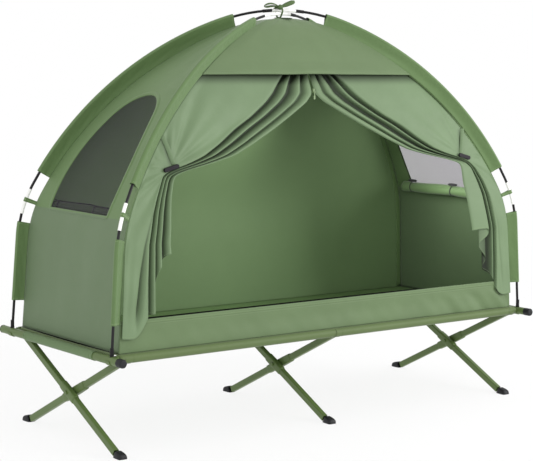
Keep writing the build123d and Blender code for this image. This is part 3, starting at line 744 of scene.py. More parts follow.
@dataclass(frozen=True)
class Metal:
    """Plated steel with fine tumbling marks."""

    name: str
    colour: Colour
    cloud: Colour
    roughness: float = 0.34

    def material(self) -> bpy.types.Material:
        """Build the metal."""
        graph = Graph(self.name)
        place = graph.place()
        marks = graph.noise(place, 300.0, 3.0)
        cloud = graph.noise(place, 60.0, 3.0)
        return graph.finish({
            "Base Color": graph.mix(graph.step(cloud, 0.3, 0.8) * 0.4, self.colour, self.cloud),
            "Metallic": 1.0,
            "Roughness": self.roughness + (marks - 0.5) * 0.2,
            "Normal": graph.bump(marks * 0.00003),
        })


@dataclass(frozen=True)
class Webbing:
    """Woven tape: ribs across the tape and a fine twill."""

    name: str
    colour: Colour
    rib: Colour
    pitch: float = 0.0018

    def material(self) -> bpy.types.Material:
        """Build the tape."""
        graph = Graph(self.name)
        u, v, _ = graph.parts(graph.cloth())
        wave = 2.0 * math.pi / self.pitch
        ribs = graph.math("SINE", v * wave + graph.math("SINE", u * wave) * 0.8)
        fuzz = graph.noise(graph.place(), 700.0, 2.0)
        part = graph.step(ribs, -0.6, 1.0) * 0.5 + fuzz * 0.2
        return graph.finish({
            "Base Color": graph.mix(part, self.colour, self.rib),
            "Roughness": 0.72 + fuzz * 0.12,
            "Normal": graph.bump(ribs * 0.00012 + fuzz * 0.00005),
            "Sheen Weight": 0.2,
        })


Finish = Union[Cloth, Net, Coating, Moulded, Skinned, Metal, Webbing]
THREAD = srgb(128, 150, 106)
SLOT_FINISHES: dict[str, Finish] = {
    "olive_tube": Coating("olive_powder_coat", srgb(88, 108, 60), srgb(68, 86, 46)),
    "zinc_steel": Metal("zinc_plate", srgb(140, 142, 132), srgb(120, 122, 118)),
    "black_cap": Moulded("foot_cap_plastic", srgb(30, 31, 33), srgb(52, 52, 54)),
    "black_rod": Moulded("pole_rod", srgb(16, 15, 17), srgb(32, 31, 34), 0.38, 0.00003),
    "white_ferrule": Moulded("ferrule_white", srgb(244, 244, 242), srgb(226, 226, 222), 0.32),
    "window_mesh": Net("window_net", srgb(48, 37, 54), srgb(38, 33, 45)),
    "black_toggle": Moulded("toggle_plastic", srgb(18, 14, 20), srgb(36, 30, 38), 0.42),
    "black_webbing": Webbing("black_tape", srgb(18, 18, 20), srgb(46, 46, 48)),
    "zip_metal": Coating("zip_paint", srgb(118, 138, 98), srgb(92, 110, 76)),
    "sleeve_cloth": Cloth("sleeve_cloth", srgb(92, 118, 72), srgb(58, 78, 44), THREAD),
    "bed_cloth": Cloth("bed_cloth", srgb(87, 105, 61), srgb(60, 75, 40), THREAD, sheen=0.1),
    "tent_cloth": Cloth("tent_cloth", srgb(95, 116, 78), srgb(42, 54, 34), THREAD),
}
OWN_FINISHES: tuple[Finish, ...] = (
    # the curtain's deep colour is near black, for the painted shade in its folds
    Cloth("curtain_cloth", srgb(110, 131, 98), srgb(22, 30, 17), THREAD, roughness=0.5,
          sheen=0.04, specular=0.2),
    Cloth("wall_cloth", srgb(98, 124, 78), srgb(66, 86, 54), THREAD, srgb(96, 116, 84)),
    # Painted light: a lighter copy of the wall cloth, for the rear wall seen inside the tent and
    # for the rolled window flaps.
    Cloth("lightened_wall_cloth", srgb(106, 132, 88), srgb(74, 94, 62), THREAD),
    Cloth("cover_cloth", srgb(92, 116, 75), srgb(64, 82, 52), THREAD, sheen=0.1),
    # Near-black cloth of the dark strips: behind the sill's hem it is painted shadow.
    Cloth("dark_strip_cloth", srgb(12, 14, 12), srgb(6, 7, 6), srgb(24, 26, 24), sheen=0.0,
          specular=0.05, roughness=0.8),
    Cloth("floor_cloth", srgb(106, 132, 86), srgb(72, 92, 58), THREAD, sheen=0.0, specular=0.1),
    Cloth("tie_tape", srgb(78, 100, 58), srgb(44, 60, 32), srgb(96, 116, 76), sheen=0.05),
    Skinned("over_ferrule", POLE_WHITE, (-0.044, 0.044)),
    Skinned("under_ferrule", POLE_WHITE, (-0.120, 0.044)),
    Skinned("under_rod", POLE_BLACK, (-0.120, 0.044)),
)
NODE_FINISHES = {
    "pole_tips": "black_rod",
    "over_pole_ferrules": "over_ferrule",
    "under_pole_ferrules": "under_ferrule",
    "under_pole_rods": "under_rod",
    "pivot_bolts": "olive_tube",
    "pivot_nuts": "olive_tube",
}


class Wardrobe:
    """All finishes of the cot and tent, made once, by the record's slot names or their own."""

    def __init__(self) -> None:
        """Make the materials."""
        finishes = {**SLOT_FINISHES, **{finish.name: finish for finish in OWN_FINISHES}}
        self.materials = {key: finish.material() for key, finish in finishes.items()}

    def dress(self, piece: bpy.types.Object, slot: str, own: str | None = None,
              second: str | None = None) -> None:
        """Give a new piece its materials: the slot's finish or its own, and a second one.

        Args:
            piece: the piece.
            slot: the record's material slot.
            own: finish to wear in place of the slot's own.
            second: finish of the grids with finish 1.
        """
        for finish in filter(None, (own or slot, second)):
            piece.data.materials.append(self.materials[finish])

    def dress_frame(self) -> None:
        """Give every CAD node the finish of its slot."""
        for part in frame["record"]["subparts"]:
            finish = NODE_FINISHES.get(part["node"], part["material_slot"])
            for holder in frame["nodes"][part["node"]].material_slots:
                holder.material = self.materials[finish]
            log.info("frame node %s wears %s", part["node"], finish)


@dataclass(frozen=True)
class CotFrame:
    """Places of the cot's tubes, which its cloth and fittings follow."""

    rail_across: float = 0.324
    rail_height: float = 0.331
    foot_across: float = 0.322
    leg_places: tuple[float, float, float] = (-0.900, 0.0, 0.900)
    leg_offset: float = 0.01235


COT = CotFrame()


@dataclass
class BedSheet:
    """Cot sheet, one cloth that wraps both rails and spans between them, and the bars' covers."""

    half_length: float = 0.925
    thickness: float = 0.0012
    wrap_radius: float = 0.0150
    wrap_end: float = math.radians(-238.0)
    notch_end: float = math.radians(-66.0)
    joint_end: float = math.radians(62.0)
    notch_half: float = 0.017
    notch_blend: float = 0.001
    joint_half: float = 0.0012
    joint_blend: float = 0.0003
    sag: float = 0.004
    crease_height: float = 0.0008
    hem_half: float = 0.306
    cover_half: float = 0.228
    cover_radius: float = 0.0151
    cover_thickness: float = 0.0011
    ring_height: float = 0.0005
    rear_cap_low: float = 0.3925
    front_cap_low: float = 0.370

    def wrap_limit(self, x: Array, side: float) -> Array:
        """Angle where the wrap round a rail ends: shorter over brackets and at the rail joint."""
        open_part = np.zeros_like(x)
        for place in COT.leg_places:
            distance = np.abs(x - (place - side * COT.leg_offset))
            edges = self.notch_half - self.notch_blend, self.notch_half + self.notch_blend
            open_part = np.maximum(open_part, 1.0 - ramp(distance, *edges))
        limit = self.wrap_end + open_part * (self.notch_end - self.wrap_end)
        edges = self.joint_half - self.joint_blend, self.joint_half + self.joint_blend
        joint = 1.0 - ramp(np.abs(x), *edges)
        return limit + joint * (self.joint_end - limit)

    def sheet(self) -> Grid:
        """Panel and wraps: round a rail from the wrap's end to the top, then straight across."""
        spots = [place + sign * COT.leg_offset + edge * self.notch_half
                 for place in COT.leg_places for sign in (-1, 1) for edge in (-1, 1)]
        x = clustered(-self.half_length, self.half_length, 130, spots, 0.002, 5)
        joint = clustered(-0.004, 0.004, 5, [-self.joint_half, self.joint_half], 0.0005, 5)
        x = np.unique(np.concatenate([x, joint]))
        part = np.linspace(0.0, 1.0, 30)[None, :]
        wraps = []
        for side in (1.0, -1.0):
            limit = self.wrap_limit(x, side)[:, None]
            angle = limit + (math.pi / 2 - limit) * part
            y = side * (COT.rail_across + self.wrap_radius * np.cos(angle))
            z = COT.rail_height + self.wrap_radius * np.sin(angle)
            wraps.append(spread(x[:, None], y, z))
        span = np.linspace(COT.rail_across, -COT.rail_across, 44)[1:-1]
        dip = self.sag * (1.0 - (span / COT.rail_across) ** 2)
        z = COT.rail_height + self.wrap_radius - dip
        waves = self.crease_height * creases(x[:, None], span[None, :], 5, 0.28, 5)
        z = z[None, :] + waves * (dip / self.sag)[None, :]
        panel = spread(x[:, None], span[None, :], z)
        return Grid(np.concatenate([wraps[0], panel, wraps[1][:, ::-1]], axis=1))

    def end_strip(self, side: float, out: Sequence[float], drop: Sequence[float],
                  finish: int) -> Grid:
        """Strip along an end of the sheet: a short outline in x and z drawn along Y over the sag.

        Args:
            side: end of the bed, -1 or 1.
            out: distances past the sheet's end.
            drop: distances below the sheet's top.
            finish: 1 for the dark strip.

        Returns:
            The grid, outward by across the bed.
        """
        y = np.linspace(-self.hem_half, self.hem_half, 60)[None, :]
        dip = self.sag * (1.0 - (y / COT.rail_across) ** 2)
        x = side * (self.half_length + np.array(out)[:, None])
        z = COT.rail_height + self.wrap_radius - dip - np.array(drop)[:, None]
        points = spread(x, y, z)
        return Grid(points if side > 0 else points[:, ::-1], finish=finish)

    def end_hem(self, side: float) -> list[Grid]:
        """Dark strip on the panel at the tent's foot, and the hem that turns down over the end."""
        tape = self.end_strip(side, (-0.0150, -0.0110, -0.0070), (-0.0013, -0.0014, -0.0013), 1)
        hem = self.end_strip(side, (-0.0070, -0.0010, 0.0016, 0.0030, 0.0034, 0.0026),
                             (-0.0009, -0.0009, -0.0002, 0.0024, 0.0075, 0.016), 0)
        return [tape, hem]

    def cover(self, reach: float) -> Grid:
        """Cloth tube round an end bar: a circle along Y, gathered in soft rings near its ends."""
        ends = [-self.cover_half, self.cover_half]
        y = clustered(*ends, 70, ends, 0.02, 16)
        turn = full_turn(32)
        rings = self.ring_height * np.sin(y * 420.0)[:, None]
        rings = rings * np.cos(2.0 * turn + 60.0 * y[:, None])
        depth = 0.4 + ramp(np.abs(y), 0.14, self.cover_half)
        radius = self.cover_radius + rings * depth[:, None]
        radius = radius + 0.0007 * hump(np.abs(y), self.cover_half - 0.004, 0.003)[:, None]
        x, z = reach + radius * np.cos(turn), COT.rail_height + radius * np.sin(turn)
        return Grid(spread(x, y[:, None], z), wrap_cols=True)

    def cap(self, reach: float, end: float, low: float) -> Grid:
        """Cap over a bar end: a circle along Y that steps up from the bar, then closes in."""
        rim = low + np.array([0.0, 0.0, 0.0006, 0.0012])
        run = np.concatenate([rim, [0.3944, 0.3954, 0.3968, 0.3984, 0.3988, 0.3988, 0.3988]])
        girth = np.array([0.0141, 0.0143, 0.0145, 0.0145, 0.0145, 0.0144, 0.0138, 0.0122, 0.0114,
                          0.006, 0.0004])
        turn = full_turn(36)
        flat = girth[:, None] * (1.0 + 0.02 * np.cos(6.0 * turn))
        x, z = reach + flat * np.cos(turn), COT.rail_height + flat * np.sin(turn)
        return Grid(spread(x, end * run[:, None], z), wrap_cols=True)

    def build(self, wardrobe: Wardrobe) -> None:
        """Make the sheet, the covers and the bar caps."""
        sheet = mesh_piece("cot_sheet", [self.sheet(), *self.end_hem(-1.0), *self.end_hem(1.0)])
        wardrobe.dress(sheet, "bed_cloth", None, "dark_strip_cloth")
        thicken(sheet, self.thickness)
        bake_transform(sheet)
        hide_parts("bed_sheet")
        log.info("cot sheet: %d points", len(sheet.data.vertices))
        for name, side in (("head_bar", -1.0), ("foot_bar", 1.0)):
            bar = side * DOME.bar_reach
            cover = mesh_piece(f"{name}_sleeve", [self.cover(bar)])
            wardrobe.dress(cover, "bed_cloth", "cover_cloth")
            hang(cover, name, f"{name}_cover", self.cover_thickness)
            caps = [self.cap(bar, 1.0, self.rear_cap_low), self.cap(bar, -1.0, self.front_cap_low)]
            caps[1].points = caps[1].points[:, ::-1]
            cap = mesh_piece(f"{name}_end_caps", caps)
            wardrobe.dress(cap, "black_cap")
            hang(cap, name, f"{name}_caps")


@dataclass
class LegFittings:
    """Rubber boots on the leg ends and the box sleeves that stiffen the legs at their crossings.

    Each is a rounded oblong carried down a leg. A leg leans across the bed through the crossing,
    and the two legs of a pair stand side by side along the bed.
    """

    sleeve_halves: tuple[float, float] = (0.046, 0.075)

    def carried(self, place: float, way: float, run: Array, wide: Array, deep: Array,
                plumb: Array) -> Grid:
        """Rounded oblong down a leg: roots of sine and cosine outline it, the floor flattens it.

        Args:
            place: crossing along the bed.
            way: +1 for a leg to the rear rail, -1 for one to the front rail.
            run: distances down the leg from the crossing.
            wide: half widths along the bed.
            deep: half depths across the leg.
            plumb: how far each section turns from square to the leg, at 0, to upright, at 1.

        Returns:
            The grid, down the leg by round it.
        """
        rise = math.atan2(COT.rail_height, COT.rail_across + COT.foot_across)
        turn = way * full_turn(44)
        waves = np.cos(turn), np.sin(turn)
        cosine, sine = (np.sign(wave) * np.sqrt(np.abs(wave)) for wave in waves)
        across = deep[:, None] * sine
        down = run[:, None] - plumb[:, None] * across * math.tan(rise)
        x = place - way * COT.leg_offset + wide[:, None] * cosine
        y = -way * (down * math.cos(rise) + across * math.sin(rise))
        z = COT.foot_across * math.tan(rise) - down * math.sin(rise) + across * math.cos(rise)
        return Grid(spread(x, y, np.maximum(z, 0.0)), wrap_cols=True)

    def boot(self, place: float, way: float) -> Grid:
        """Boot: a short block that swells from a rim to a blunt upright toe with a flat sole."""
        sections = np.array([
            (0.3410, 0.0100, 0.0120, 0.0), (0.3410, 0.0132, 0.0152, 0.0),
            (0.3422, 0.0142, 0.0164, 0.0), (0.3490, 0.0152, 0.0180, 0.15),
            (0.3600, 0.0162, 0.0200, 0.5), (0.3750, 0.0166, 0.0222, 0.9),
            (0.3825, 0.0160, 0.0222, 1.0), (0.3855, 0.0142, 0.0200, 1.0),
            (0.3860, 0.0070, 0.0080, 1.0), (0.3860, 0.0003, 0.0003, 1.0),
        ])
        return self.carried(place, way, *sections.T)

    def sleeve(self, place: float, way: float, half: float) -> Grid:
        """Box sleeve at the crossing: steps up from the leg and is deepest in the middle."""
        upper = np.array([
            (-1.0, 0.0099, 0.0119), (-1.0, 0.0112, 0.0145), (-0.97, 0.0119, 0.0153),
            (-0.90, 0.0120, 0.0156), (-0.4, 0.0120, 0.0165), (0.0, 0.0120, 0.0168),
        ])
        lower = upper[-2::-1] * np.array([-1.0, 1.0, 1.0])
        run, wide, deep = np.concatenate([upper, lower]).T
        return self.carried(place, way, run * half, wide, deep, 0.0 * run)

    def build(self, wardrobe: Wardrobe) -> None:
        """Make the boots and sleeves of both leg sets."""
        for way, body, half, other in ((1.0, "rear", self.sleeve_halves[0], "front"),
                                       (-1.0, "front", self.sleeve_halves[1], "rear")):
            grids = [self.boot(place, way) for place in COT.leg_places]
            boots = mesh_piece(f"{other}_foot_boots", grids)
            wardrobe.dress(boots, "black_cap")
            hang(boots, f"{body}_frame", f"{other}_feet")
            grids = [self.sleeve(place, way, half) for place in COT.leg_places]
            sleeves = mesh_piece(f"{body}_leg_sleeves", grids)
            wardrobe.dress(sleeves, "olive_tube")
            hang(sleeves, f"{body}_frame", f"{body}_leg_collars")


@dataclass
class Window:
    """Outline of an end window, in the plane across the bed."""

    sill: float = 0.780
    sill_half: float = 0.187
    side_height: float = 0.957
    side_half: float = 0.179
    shoulder_height: float = 1.112
    shoulder_half: float = 0.125
    top: float = 1.189
    shift: float = 0.018
    arc_points: int = 200
    base_points: int = 120
    samples: int = 2000
    blur: int = 45

    @staticmethod
    def arc(first: Sequence[float], middle: Sequence[float], last: Sequence[float],
            count: int) -> Array:
        """Circle through three points, from the first to the last."""
        a, b, c = (complex(*p) for p in (first, middle, last))
        w = (c - a) / (b - a)
        centre = a + (b - a) * (w - abs(w) ** 2) / (2j * w.imag)
        begin = np.angle(a - centre)
        sweep = np.angle((c - centre) / (a - centre))
        turns = begin + sweep * np.linspace(0.0, 1.0, count)
        ring = centre + abs(a - centre) * np.exp(1j * turns)
        return spread(ring.real, ring.imag)

    def outline(self, count: int) -> Array:
        """Closed outline from the middle of the sill, evenly spaced, its corners averaged round.

        Args:
            count: number of points.

        Returns:
            Points by y and z.
        """
        shoulder = (self.shoulder_half, self.shoulder_height)
        side = self.arc((self.sill_half, self.sill), (self.side_half, self.side_height), shoulder,
                        self.arc_points)
        crown = self.arc(shoulder, (0.0, self.top), (-self.shoulder_half, self.shoulder_height),
                         self.arc_points)
        base = spread(np.linspace(0.0, self.sill_half, self.base_points), np.array(self.sill))
        mirrored = np.array([-1.0, 1.0])
        line = np.concatenate([base[:-1], side[:-1], crown, side[::-1][1:] * mirrored,
                               base[::-1][1:] * mirrored])
        steps = np.concatenate([[0.0], np.cumsum(np.linalg.norm(np.diff(line, axis=0), axis=1))])
        fine = np.linspace(0.0, steps[-1], self.samples + 1)[:-1]
        even = np.stack([np.interp(fine, steps, column) for column in line.T], axis=-1)
        kernel = np.hanning(self.blur) / np.hanning(self.blur).sum()
        margin = self.blur // 2
        padded = np.concatenate([even[-margin:], even, even[:margin]])
        columns = [np.convolve(column, kernel, mode="valid") for column in padded.T]
        rounded = np.stack(columns, axis=-1)
        rounded[:, 0] += self.shift
        return rounded[np.linspace(0, self.samples, count, endpoint=False).astype(int)]


@dataclass
class TentShell:
    """Walls, floor, visor and sill of the tent."""

    wall_thickness: float = 0.0011
    bow: float = 0.006
    tent_bottom: float = 0.3472
    crown_hole: float = 0.014
    panel_seam: float = 0.780
    visor_hem: float = 1.257
    visor_offset: float = 0.003
    sill_top: float = 0.450
    hem_radius: float = 0.0026
    tape_width: float = 0.024
    crease_height: float = 0.0022
    pucker_height: float = 0.0006
    ray_height: float = 0.955
    ray_count: int = 420
    stitch_step: float = 0.0031
    binding_half: float = 0.0055
    binding_lift: float = 0.0018
    felled_half: float = 0.0045
    felled_lift: float = 0.0010
    felled_end: float = 0.998
    floor_height: float = 0.3484
    floor_rim: float = 0.349
    floor_gap: float = 0.0026
    window: Window = field(default_factory=Window)

    @property
    def reach(self) -> tuple[float, float]:
        """Lengths along the seam from the tent bottom to the edge of the crown hole."""
        steps = np.linspace(0.0, DOME.total(), CURVE_STEPS)
        s = DOME.at(steps, DOME.inset)[0]
        return DOME.seam_length(self.tent_bottom), float(np.interp(-self.crown_hole, -s, steps))

    def slack(self, face: Face, length: Array, across: Array) -> Array:
        """Offset of a stretched wall: a bow inward between the seams, and shallow creases."""
        low, high = self.reach
        part = (length - low) / (high - low)
        inside = (1.0 - across**2) * np.sin(math.pi * np.clip(part, 0.0, 1.0)) ** 0.7
        seed = 11 + list(Face).index(face)
        folds = creases(0.5 * across, length, seed, 0.34, 6) * self.crease_height
        pucker = self.pucker_height * np.sin(length * 310.0 + 3.0 * across)
        pucker = pucker * ramp(np.abs(across), 0.93, 0.995)
        edge = 1.0 - ramp(np.abs(across), 0.985, 1.0)
        return -self.bow * inside + folds * inside**0.5 + pucker * edge

    def window_ray_grid(self, face: Face) -> Grid:
        """End wall round its window: straight rays from the window's edge to the wall's edge.

        The rays run in the wall's own coordinates, and one goes through each of its corners.
        """
        low, high = self.reach
        outline = self.window.outline(self.ray_count)
        length, across = DOME.on_end(outline[:, 0], outline[:, 1])
        middle = DOME.seam_length(self.ray_height)
        rise = length - middle
        to_side = 1.0 / np.maximum(np.abs(across), 1e-9)
        room = np.where(rise > 0.0, high - middle, middle - low)
        to_end = room / np.maximum(np.abs(rise), 1e-9)
        reach = np.minimum(to_side, to_end)
        edge_across, edge_length = across * reach, middle + rise * reach
        for corner in ((1.0, low), (-1.0, low), (1.0, high), (-1.0, high)):
            turn = np.arctan2(corner[1] - middle, corner[0])
            aside = np.angle(np.exp(1j * (np.arctan2(rise, across) - turn)))
            nearest = np.argmin(np.abs(aside))
            edge_across[nearest], edge_length[nearest] = corner
        part = np.linspace(0.0, 1.0, 46)[:, None] ** 1.15
        grid_across = across + (edge_across - across) * part
        grid_length = length + (edge_length - length) * part
        offset = self.slack(face, grid_length, grid_across)
        points = DOME.face(face, grid_length, grid_across, offset)
        gap = np.linalg.norm(points - points[:1], axis=2)
        along = np.arange(self.ray_count) * self.stitch_step
        return Grid(points, wrap_cols=True, hem=spread(gap, along))

    def window_binding(self, face: Face) -> Grid:
        """Half-round tape carried round the window edge."""
        outline = self.window.outline(300)
        ahead = unit(np.roll(outline, -1, axis=0) - np.roll(outline, 1, axis=0))
        outward = spread(ahead[:, 1], -ahead[:, 0])
        turn = np.linspace(-0.15, 1.15, 9) * math.pi
        out, lift = -self.binding_half * np.cos(turn), self.binding_lift * np.sin(turn) + 0.0004
        line = outline[None, :, :] + out[:, None, None] * outward[None, :, :]
        length, across = DOME.on_end(line[..., 0], line[..., 1])
        offset = self.slack(face, length, across) + lift[:, None]
        return Grid(DOME.face(face, length, across, offset), wrap_cols=True)

    def seam_tape(self, face: Face, height: float, low: float, high: float) -> Grid:
        """Flat felled seam across a wall at a height: a low ridge between two places across."""
        rows = np.linspace(-1.0, 1.0, 7)
        across = np.linspace(low, high, 60)[None, :]
        length = DOME.seam_length(height) + self.felled_half * rows[:, None]
        lift = self.felled_lift * (1.0 - rows**4)[:, None] + 0.0001
        return Grid(DOME.face(face, length, across, self.slack(face, length, across) + lift))

    def end_wall(self, side: Side, wardrobe: Wardrobe) -> None:
        """Make an end wall with its window binding and panel seam."""
        face = Face[side.name]
        name = side.name.lower()
        half = float(DOME.seam(self.panel_seam) * DOME.along[1])
        front_edge, rear_edge = ((self.window.shift + way * self.window.sill_half) / half
                                 for way in (-1.0, 1.0))
        grids = [self.window_ray_grid(face), self.window_binding(face),
                 self.seam_tape(face, self.panel_seam, rear_edge + 0.01, self.felled_end),
                 self.seam_tape(face, self.panel_seam, -self.felled_end, front_edge - 0.01)]
        wall = mesh_piece(f"{name}_end_wall", grids, flip=side is Side.LEFT)
        wardrobe.dress(wall, "tent_cloth", "wall_cloth")
        hang(wall, "tent", f"{name}_wall", self.wall_thickness, -1.0)

    def rear_wall(self, wardrobe: Wardrobe) -> None:
        """Make the rear wall: lengths up the seam by places across."""
        low, high = self.reach
        length = clustered(low, high, 90, [low], 0.03, 8)[:, None]
        across = np.linspace(-1.0, 1.0, 150)[None, :]
        shell = Grid(DOME.face(Face.REAR, length, across, self.slack(Face.REAR, length, across)))
        tape = self.seam_tape(Face.REAR, self.panel_seam, -self.felled_end, self.felled_end)
        corners = [self.corner_tape(side) for side in Side]
        wall = mesh_piece("rear_tent_wall", [shell, tape, *corners])
        # the rear wall wears the lighter copy of the wall cloth: painted light
        wardrobe.dress(wall, "tent_cloth", "lightened_wall_cloth", "sleeve_cloth")
        hang(wall, "tent", "rear_wall", self.wall_thickness, -1.0)

    def rolled(self, edge: Array, onward: Array, outward: Array, radius: float,
               turn: float) -> Array:
        """Rows of a rolled hem: a circle that carries on from the cloth's edge and curls inward.

        Args:
            edge: points of the edge.
            onward: unit direction in which the cloth runs out.
            outward: unit direction of the outer side.
            radius: radius of the roll.
            turn: how far it curls, in radians.

        Returns:
            Rows by points by 3.
        """
        angle = np.linspace(0.12, 1.0, 11)[:, None, None] * turn
        curl = np.sin(angle) * onward[None] + (np.cos(angle) - 1.0) * outward[None]
        return edge[None] + radius * curl

    def door_band(self, low: float, high: float, offset: Callable[[Array, Array], Array],
                  roll_low: bool) -> Grid:
        """Cloth of the door face between two heights with a rolled hem along one edge.

        Args:
            low: height of the lower edge.
            high: height of the upper edge.
            offset: offset from the face by length and place across.
            roll_low: whether the hem is on the lower edge.

        Returns:
            The grid, from the hem.
        """
        begin, finish = (DOME.seam_length(height) for height in (low, high))
        hem_at = begin if roll_low else finish
        length = clustered(begin, finish, 46, [hem_at], 0.02, 24)
        length = length if roll_low else length[::-1]
        across = clustered(-1.0, 1.0, 150, [-1.0, 1.0], 0.03, 10)[None, :]
        points = DOME.face(Face.FRONT, length[:, None], across, offset(length[:, None], across))
        onward = unit(points[0] - points[1])
        outward = np.cross(onward, np.array([1.0, 0.0, 0.0]))
        outward *= np.sign(-outward[:, 1:2])
        hem = self.rolled(points[0], onward, outward, self.hem_radius, math.radians(320.0))[::-1]
        rows = np.concatenate([hem, points])
        gap = np.concatenate([np.zeros(len(hem)), np.abs(length - hem_at)])
        run = across * DOME.along[0] * DOME.at(length, DOME.inset)[0].mean()
        return Grid(rows, hem=spread(gap[:, None], run))

    def sill_welt(self) -> Grid:
        """Painted shadow behind the sill's hem: a dark half circle along its top, thinning at the
        right.
        """
        hem_length = DOME.seam_length(self.sill_top)
        across = np.linspace(-0.985, 0.62, 120)[None, :]
        turn = np.linspace(-0.3, 1.3, 11)[:, None] * math.pi
        size = 1.0 - ramp(across, 0.40, 0.62)
        length = hem_length - 0.0010 + 0.0080 * size * np.sin(turn)
        offset = -0.0052 - 0.0026 * size * np.cos(turn)
        return Grid(DOME.face(Face.FRONT, length, across, offset), finish=1)

    def corner_tape(self, side: Side) -> Grid:
        """Binding inside a rear corner: a strip up the inner side of the rear wall."""
        low, high = self.reach
        length = np.linspace(low + 0.004, low + 0.80 * (high - low), 80)[:, None]
        half = DOME.at(length, DOME.inset)[0] * DOME.along[0]
        across = 1.0 - (0.0012 + self.tape_width * np.linspace(0.0, 1.0, 7)[None, :]) / half
        across = side.value * across
        round_edge = 0.0012 * (1.0 - np.linspace(-1.0, 1.0, 7)[None, :] ** 4)
        offset = self.slack(Face.REAR, length, across) - self.wall_thickness - 0.0002 - round_edge
        points = DOME.face(Face.REAR, length, across, offset)
        return Grid(points if side is Side.RIGHT else points[:, ::-1], finish=1)

    def visor(self, wardrobe: Wardrobe) -> None:
        """Make the roof cloth over the door, with its hem standing a little off the curtains."""
        top = float(DOME.at(np.array(self.reach[1]), DOME.inset)[1])
        hem_length = DOME.seam_length(self.visor_hem)

        def offset(length: Array, across: Array) -> Array:
            """Stand-off, a slight belly, a lift at the hem over the curtains, and creases."""
            height = length - hem_length
            near_hem = 1.0 - ramp(height, 0.0, 0.09)
            middle = 1.0 - across**2
            belly = 0.004 * middle * np.sin(math.pi * np.clip(height / 0.42, 0.0, 1.0))
            lift = near_hem * (0.006 * middle + 0.004 * hump(across, 0.04, 0.16))
            groove = -0.0007 * hump(height, 0.0115, 0.0016)
            folds = 0.0012 * creases(across, length, 31, 0.4, 5)
            return self.visor_offset + belly + lift + groove + folds

        band = self.door_band(self.visor_hem, top, offset, True)
        visor = mesh_piece("door_visor_cloth", [band], flip=True)
        wardrobe.dress(visor, "tent_cloth")
        hang(visor, "tent", "door_visor", self.wall_thickness, -1.0)

    def sill(self, wardrobe: Wardrobe) -> None:
        """Make the low front wall under the door, with a rolled top hem and slanting wrinkles."""
        hem_length = DOME.seam_length(self.sill_top)

        def offset(length: Array, across: Array) -> Array:
            """Slanting wrinkles that grow towards the right end, and the groove under the hem."""
            height = length - hem_length
            fine = np.sin(74.0 * across + 70.0 * height) * 0.5
            slant = fine + np.sin(31.0 * across + 38.0 * height + 1.0)
            amount = 0.0005 + 0.0030 * ramp(across, 0.35, 0.95)
            fade = ramp(-height, 0.012, 0.05) * (1.0 - ramp(np.abs(across), 0.97, 1.0))
            groove = -0.0008 * hump(-height, 0.0125, 0.0015)
            hollow = 0.003 * hump(-height, 0.05, 0.03) * (1.0 - across**2)
            return amount * slant * fade + groove - hollow

        band = self.door_band(self.tent_bottom, self.sill_top, offset, False)
        # the dark strip behind the hem is painted shadow
        sill = mesh_piece("door_sill_cloth", [band, self.sill_welt()])
        wardrobe.dress(sill, "tent_cloth", None, "dark_strip_cloth")
        hang(sill, "tent", "door_sill", self.wall_thickness, -1.0)

    def floor(self, wardrobe: Wardrobe) -> None:
        """Make the tent floor: nearly flat, with shallow waves."""
        half_x, half_y = (float(DOME.seam(self.floor_rim)) * share - self.floor_gap
                          for share in DOME.along)
        x = np.linspace(-half_x, half_x, 120)[:, None]
        y = np.linspace(-half_y, half_y, 46)[None, :]
        edge_x = 1.0 - ramp(np.abs(x), half_x - 0.05, half_x)
        edge_y = 1.0 - ramp(np.abs(y), half_y - 0.05, half_y)
        z = self.floor_height + edge_x * edge_y * (0.0012 + 0.0012 * creases(x, y, 71, 0.3, 6))
        floor = mesh_piece("tent_floor_cloth", [Grid(spread(x, y, z))])
        wardrobe.dress(floor, "tent_cloth", "floor_cloth")
        hang(floor, "tent", "tent_floor", self.wall_thickness, -1.0)

    def build(self, wardrobe: Wardrobe) -> None:
        """Make all the cloth of the shell."""
        for side in Side:
            self.end_wall(side, wardrobe)
        self.rear_wall(wardrobe)
        self.visor(wardrobe)
        self.sill(wardrobe)
        self.floor(wardrobe)


@dataclass(frozen=True)
class FoldLine:
    """One line of a curtain's gathered part, followed from the top to its own hem.

    The places run from 0 at the flat panel to 1 at the free edge, above and below the toggle.
    The depths are shares of the fold depth, 0 at the front and -1 at the back.
    """

    above: float
    above_depth: float
    below: float
    below_depth: float
    hem: float


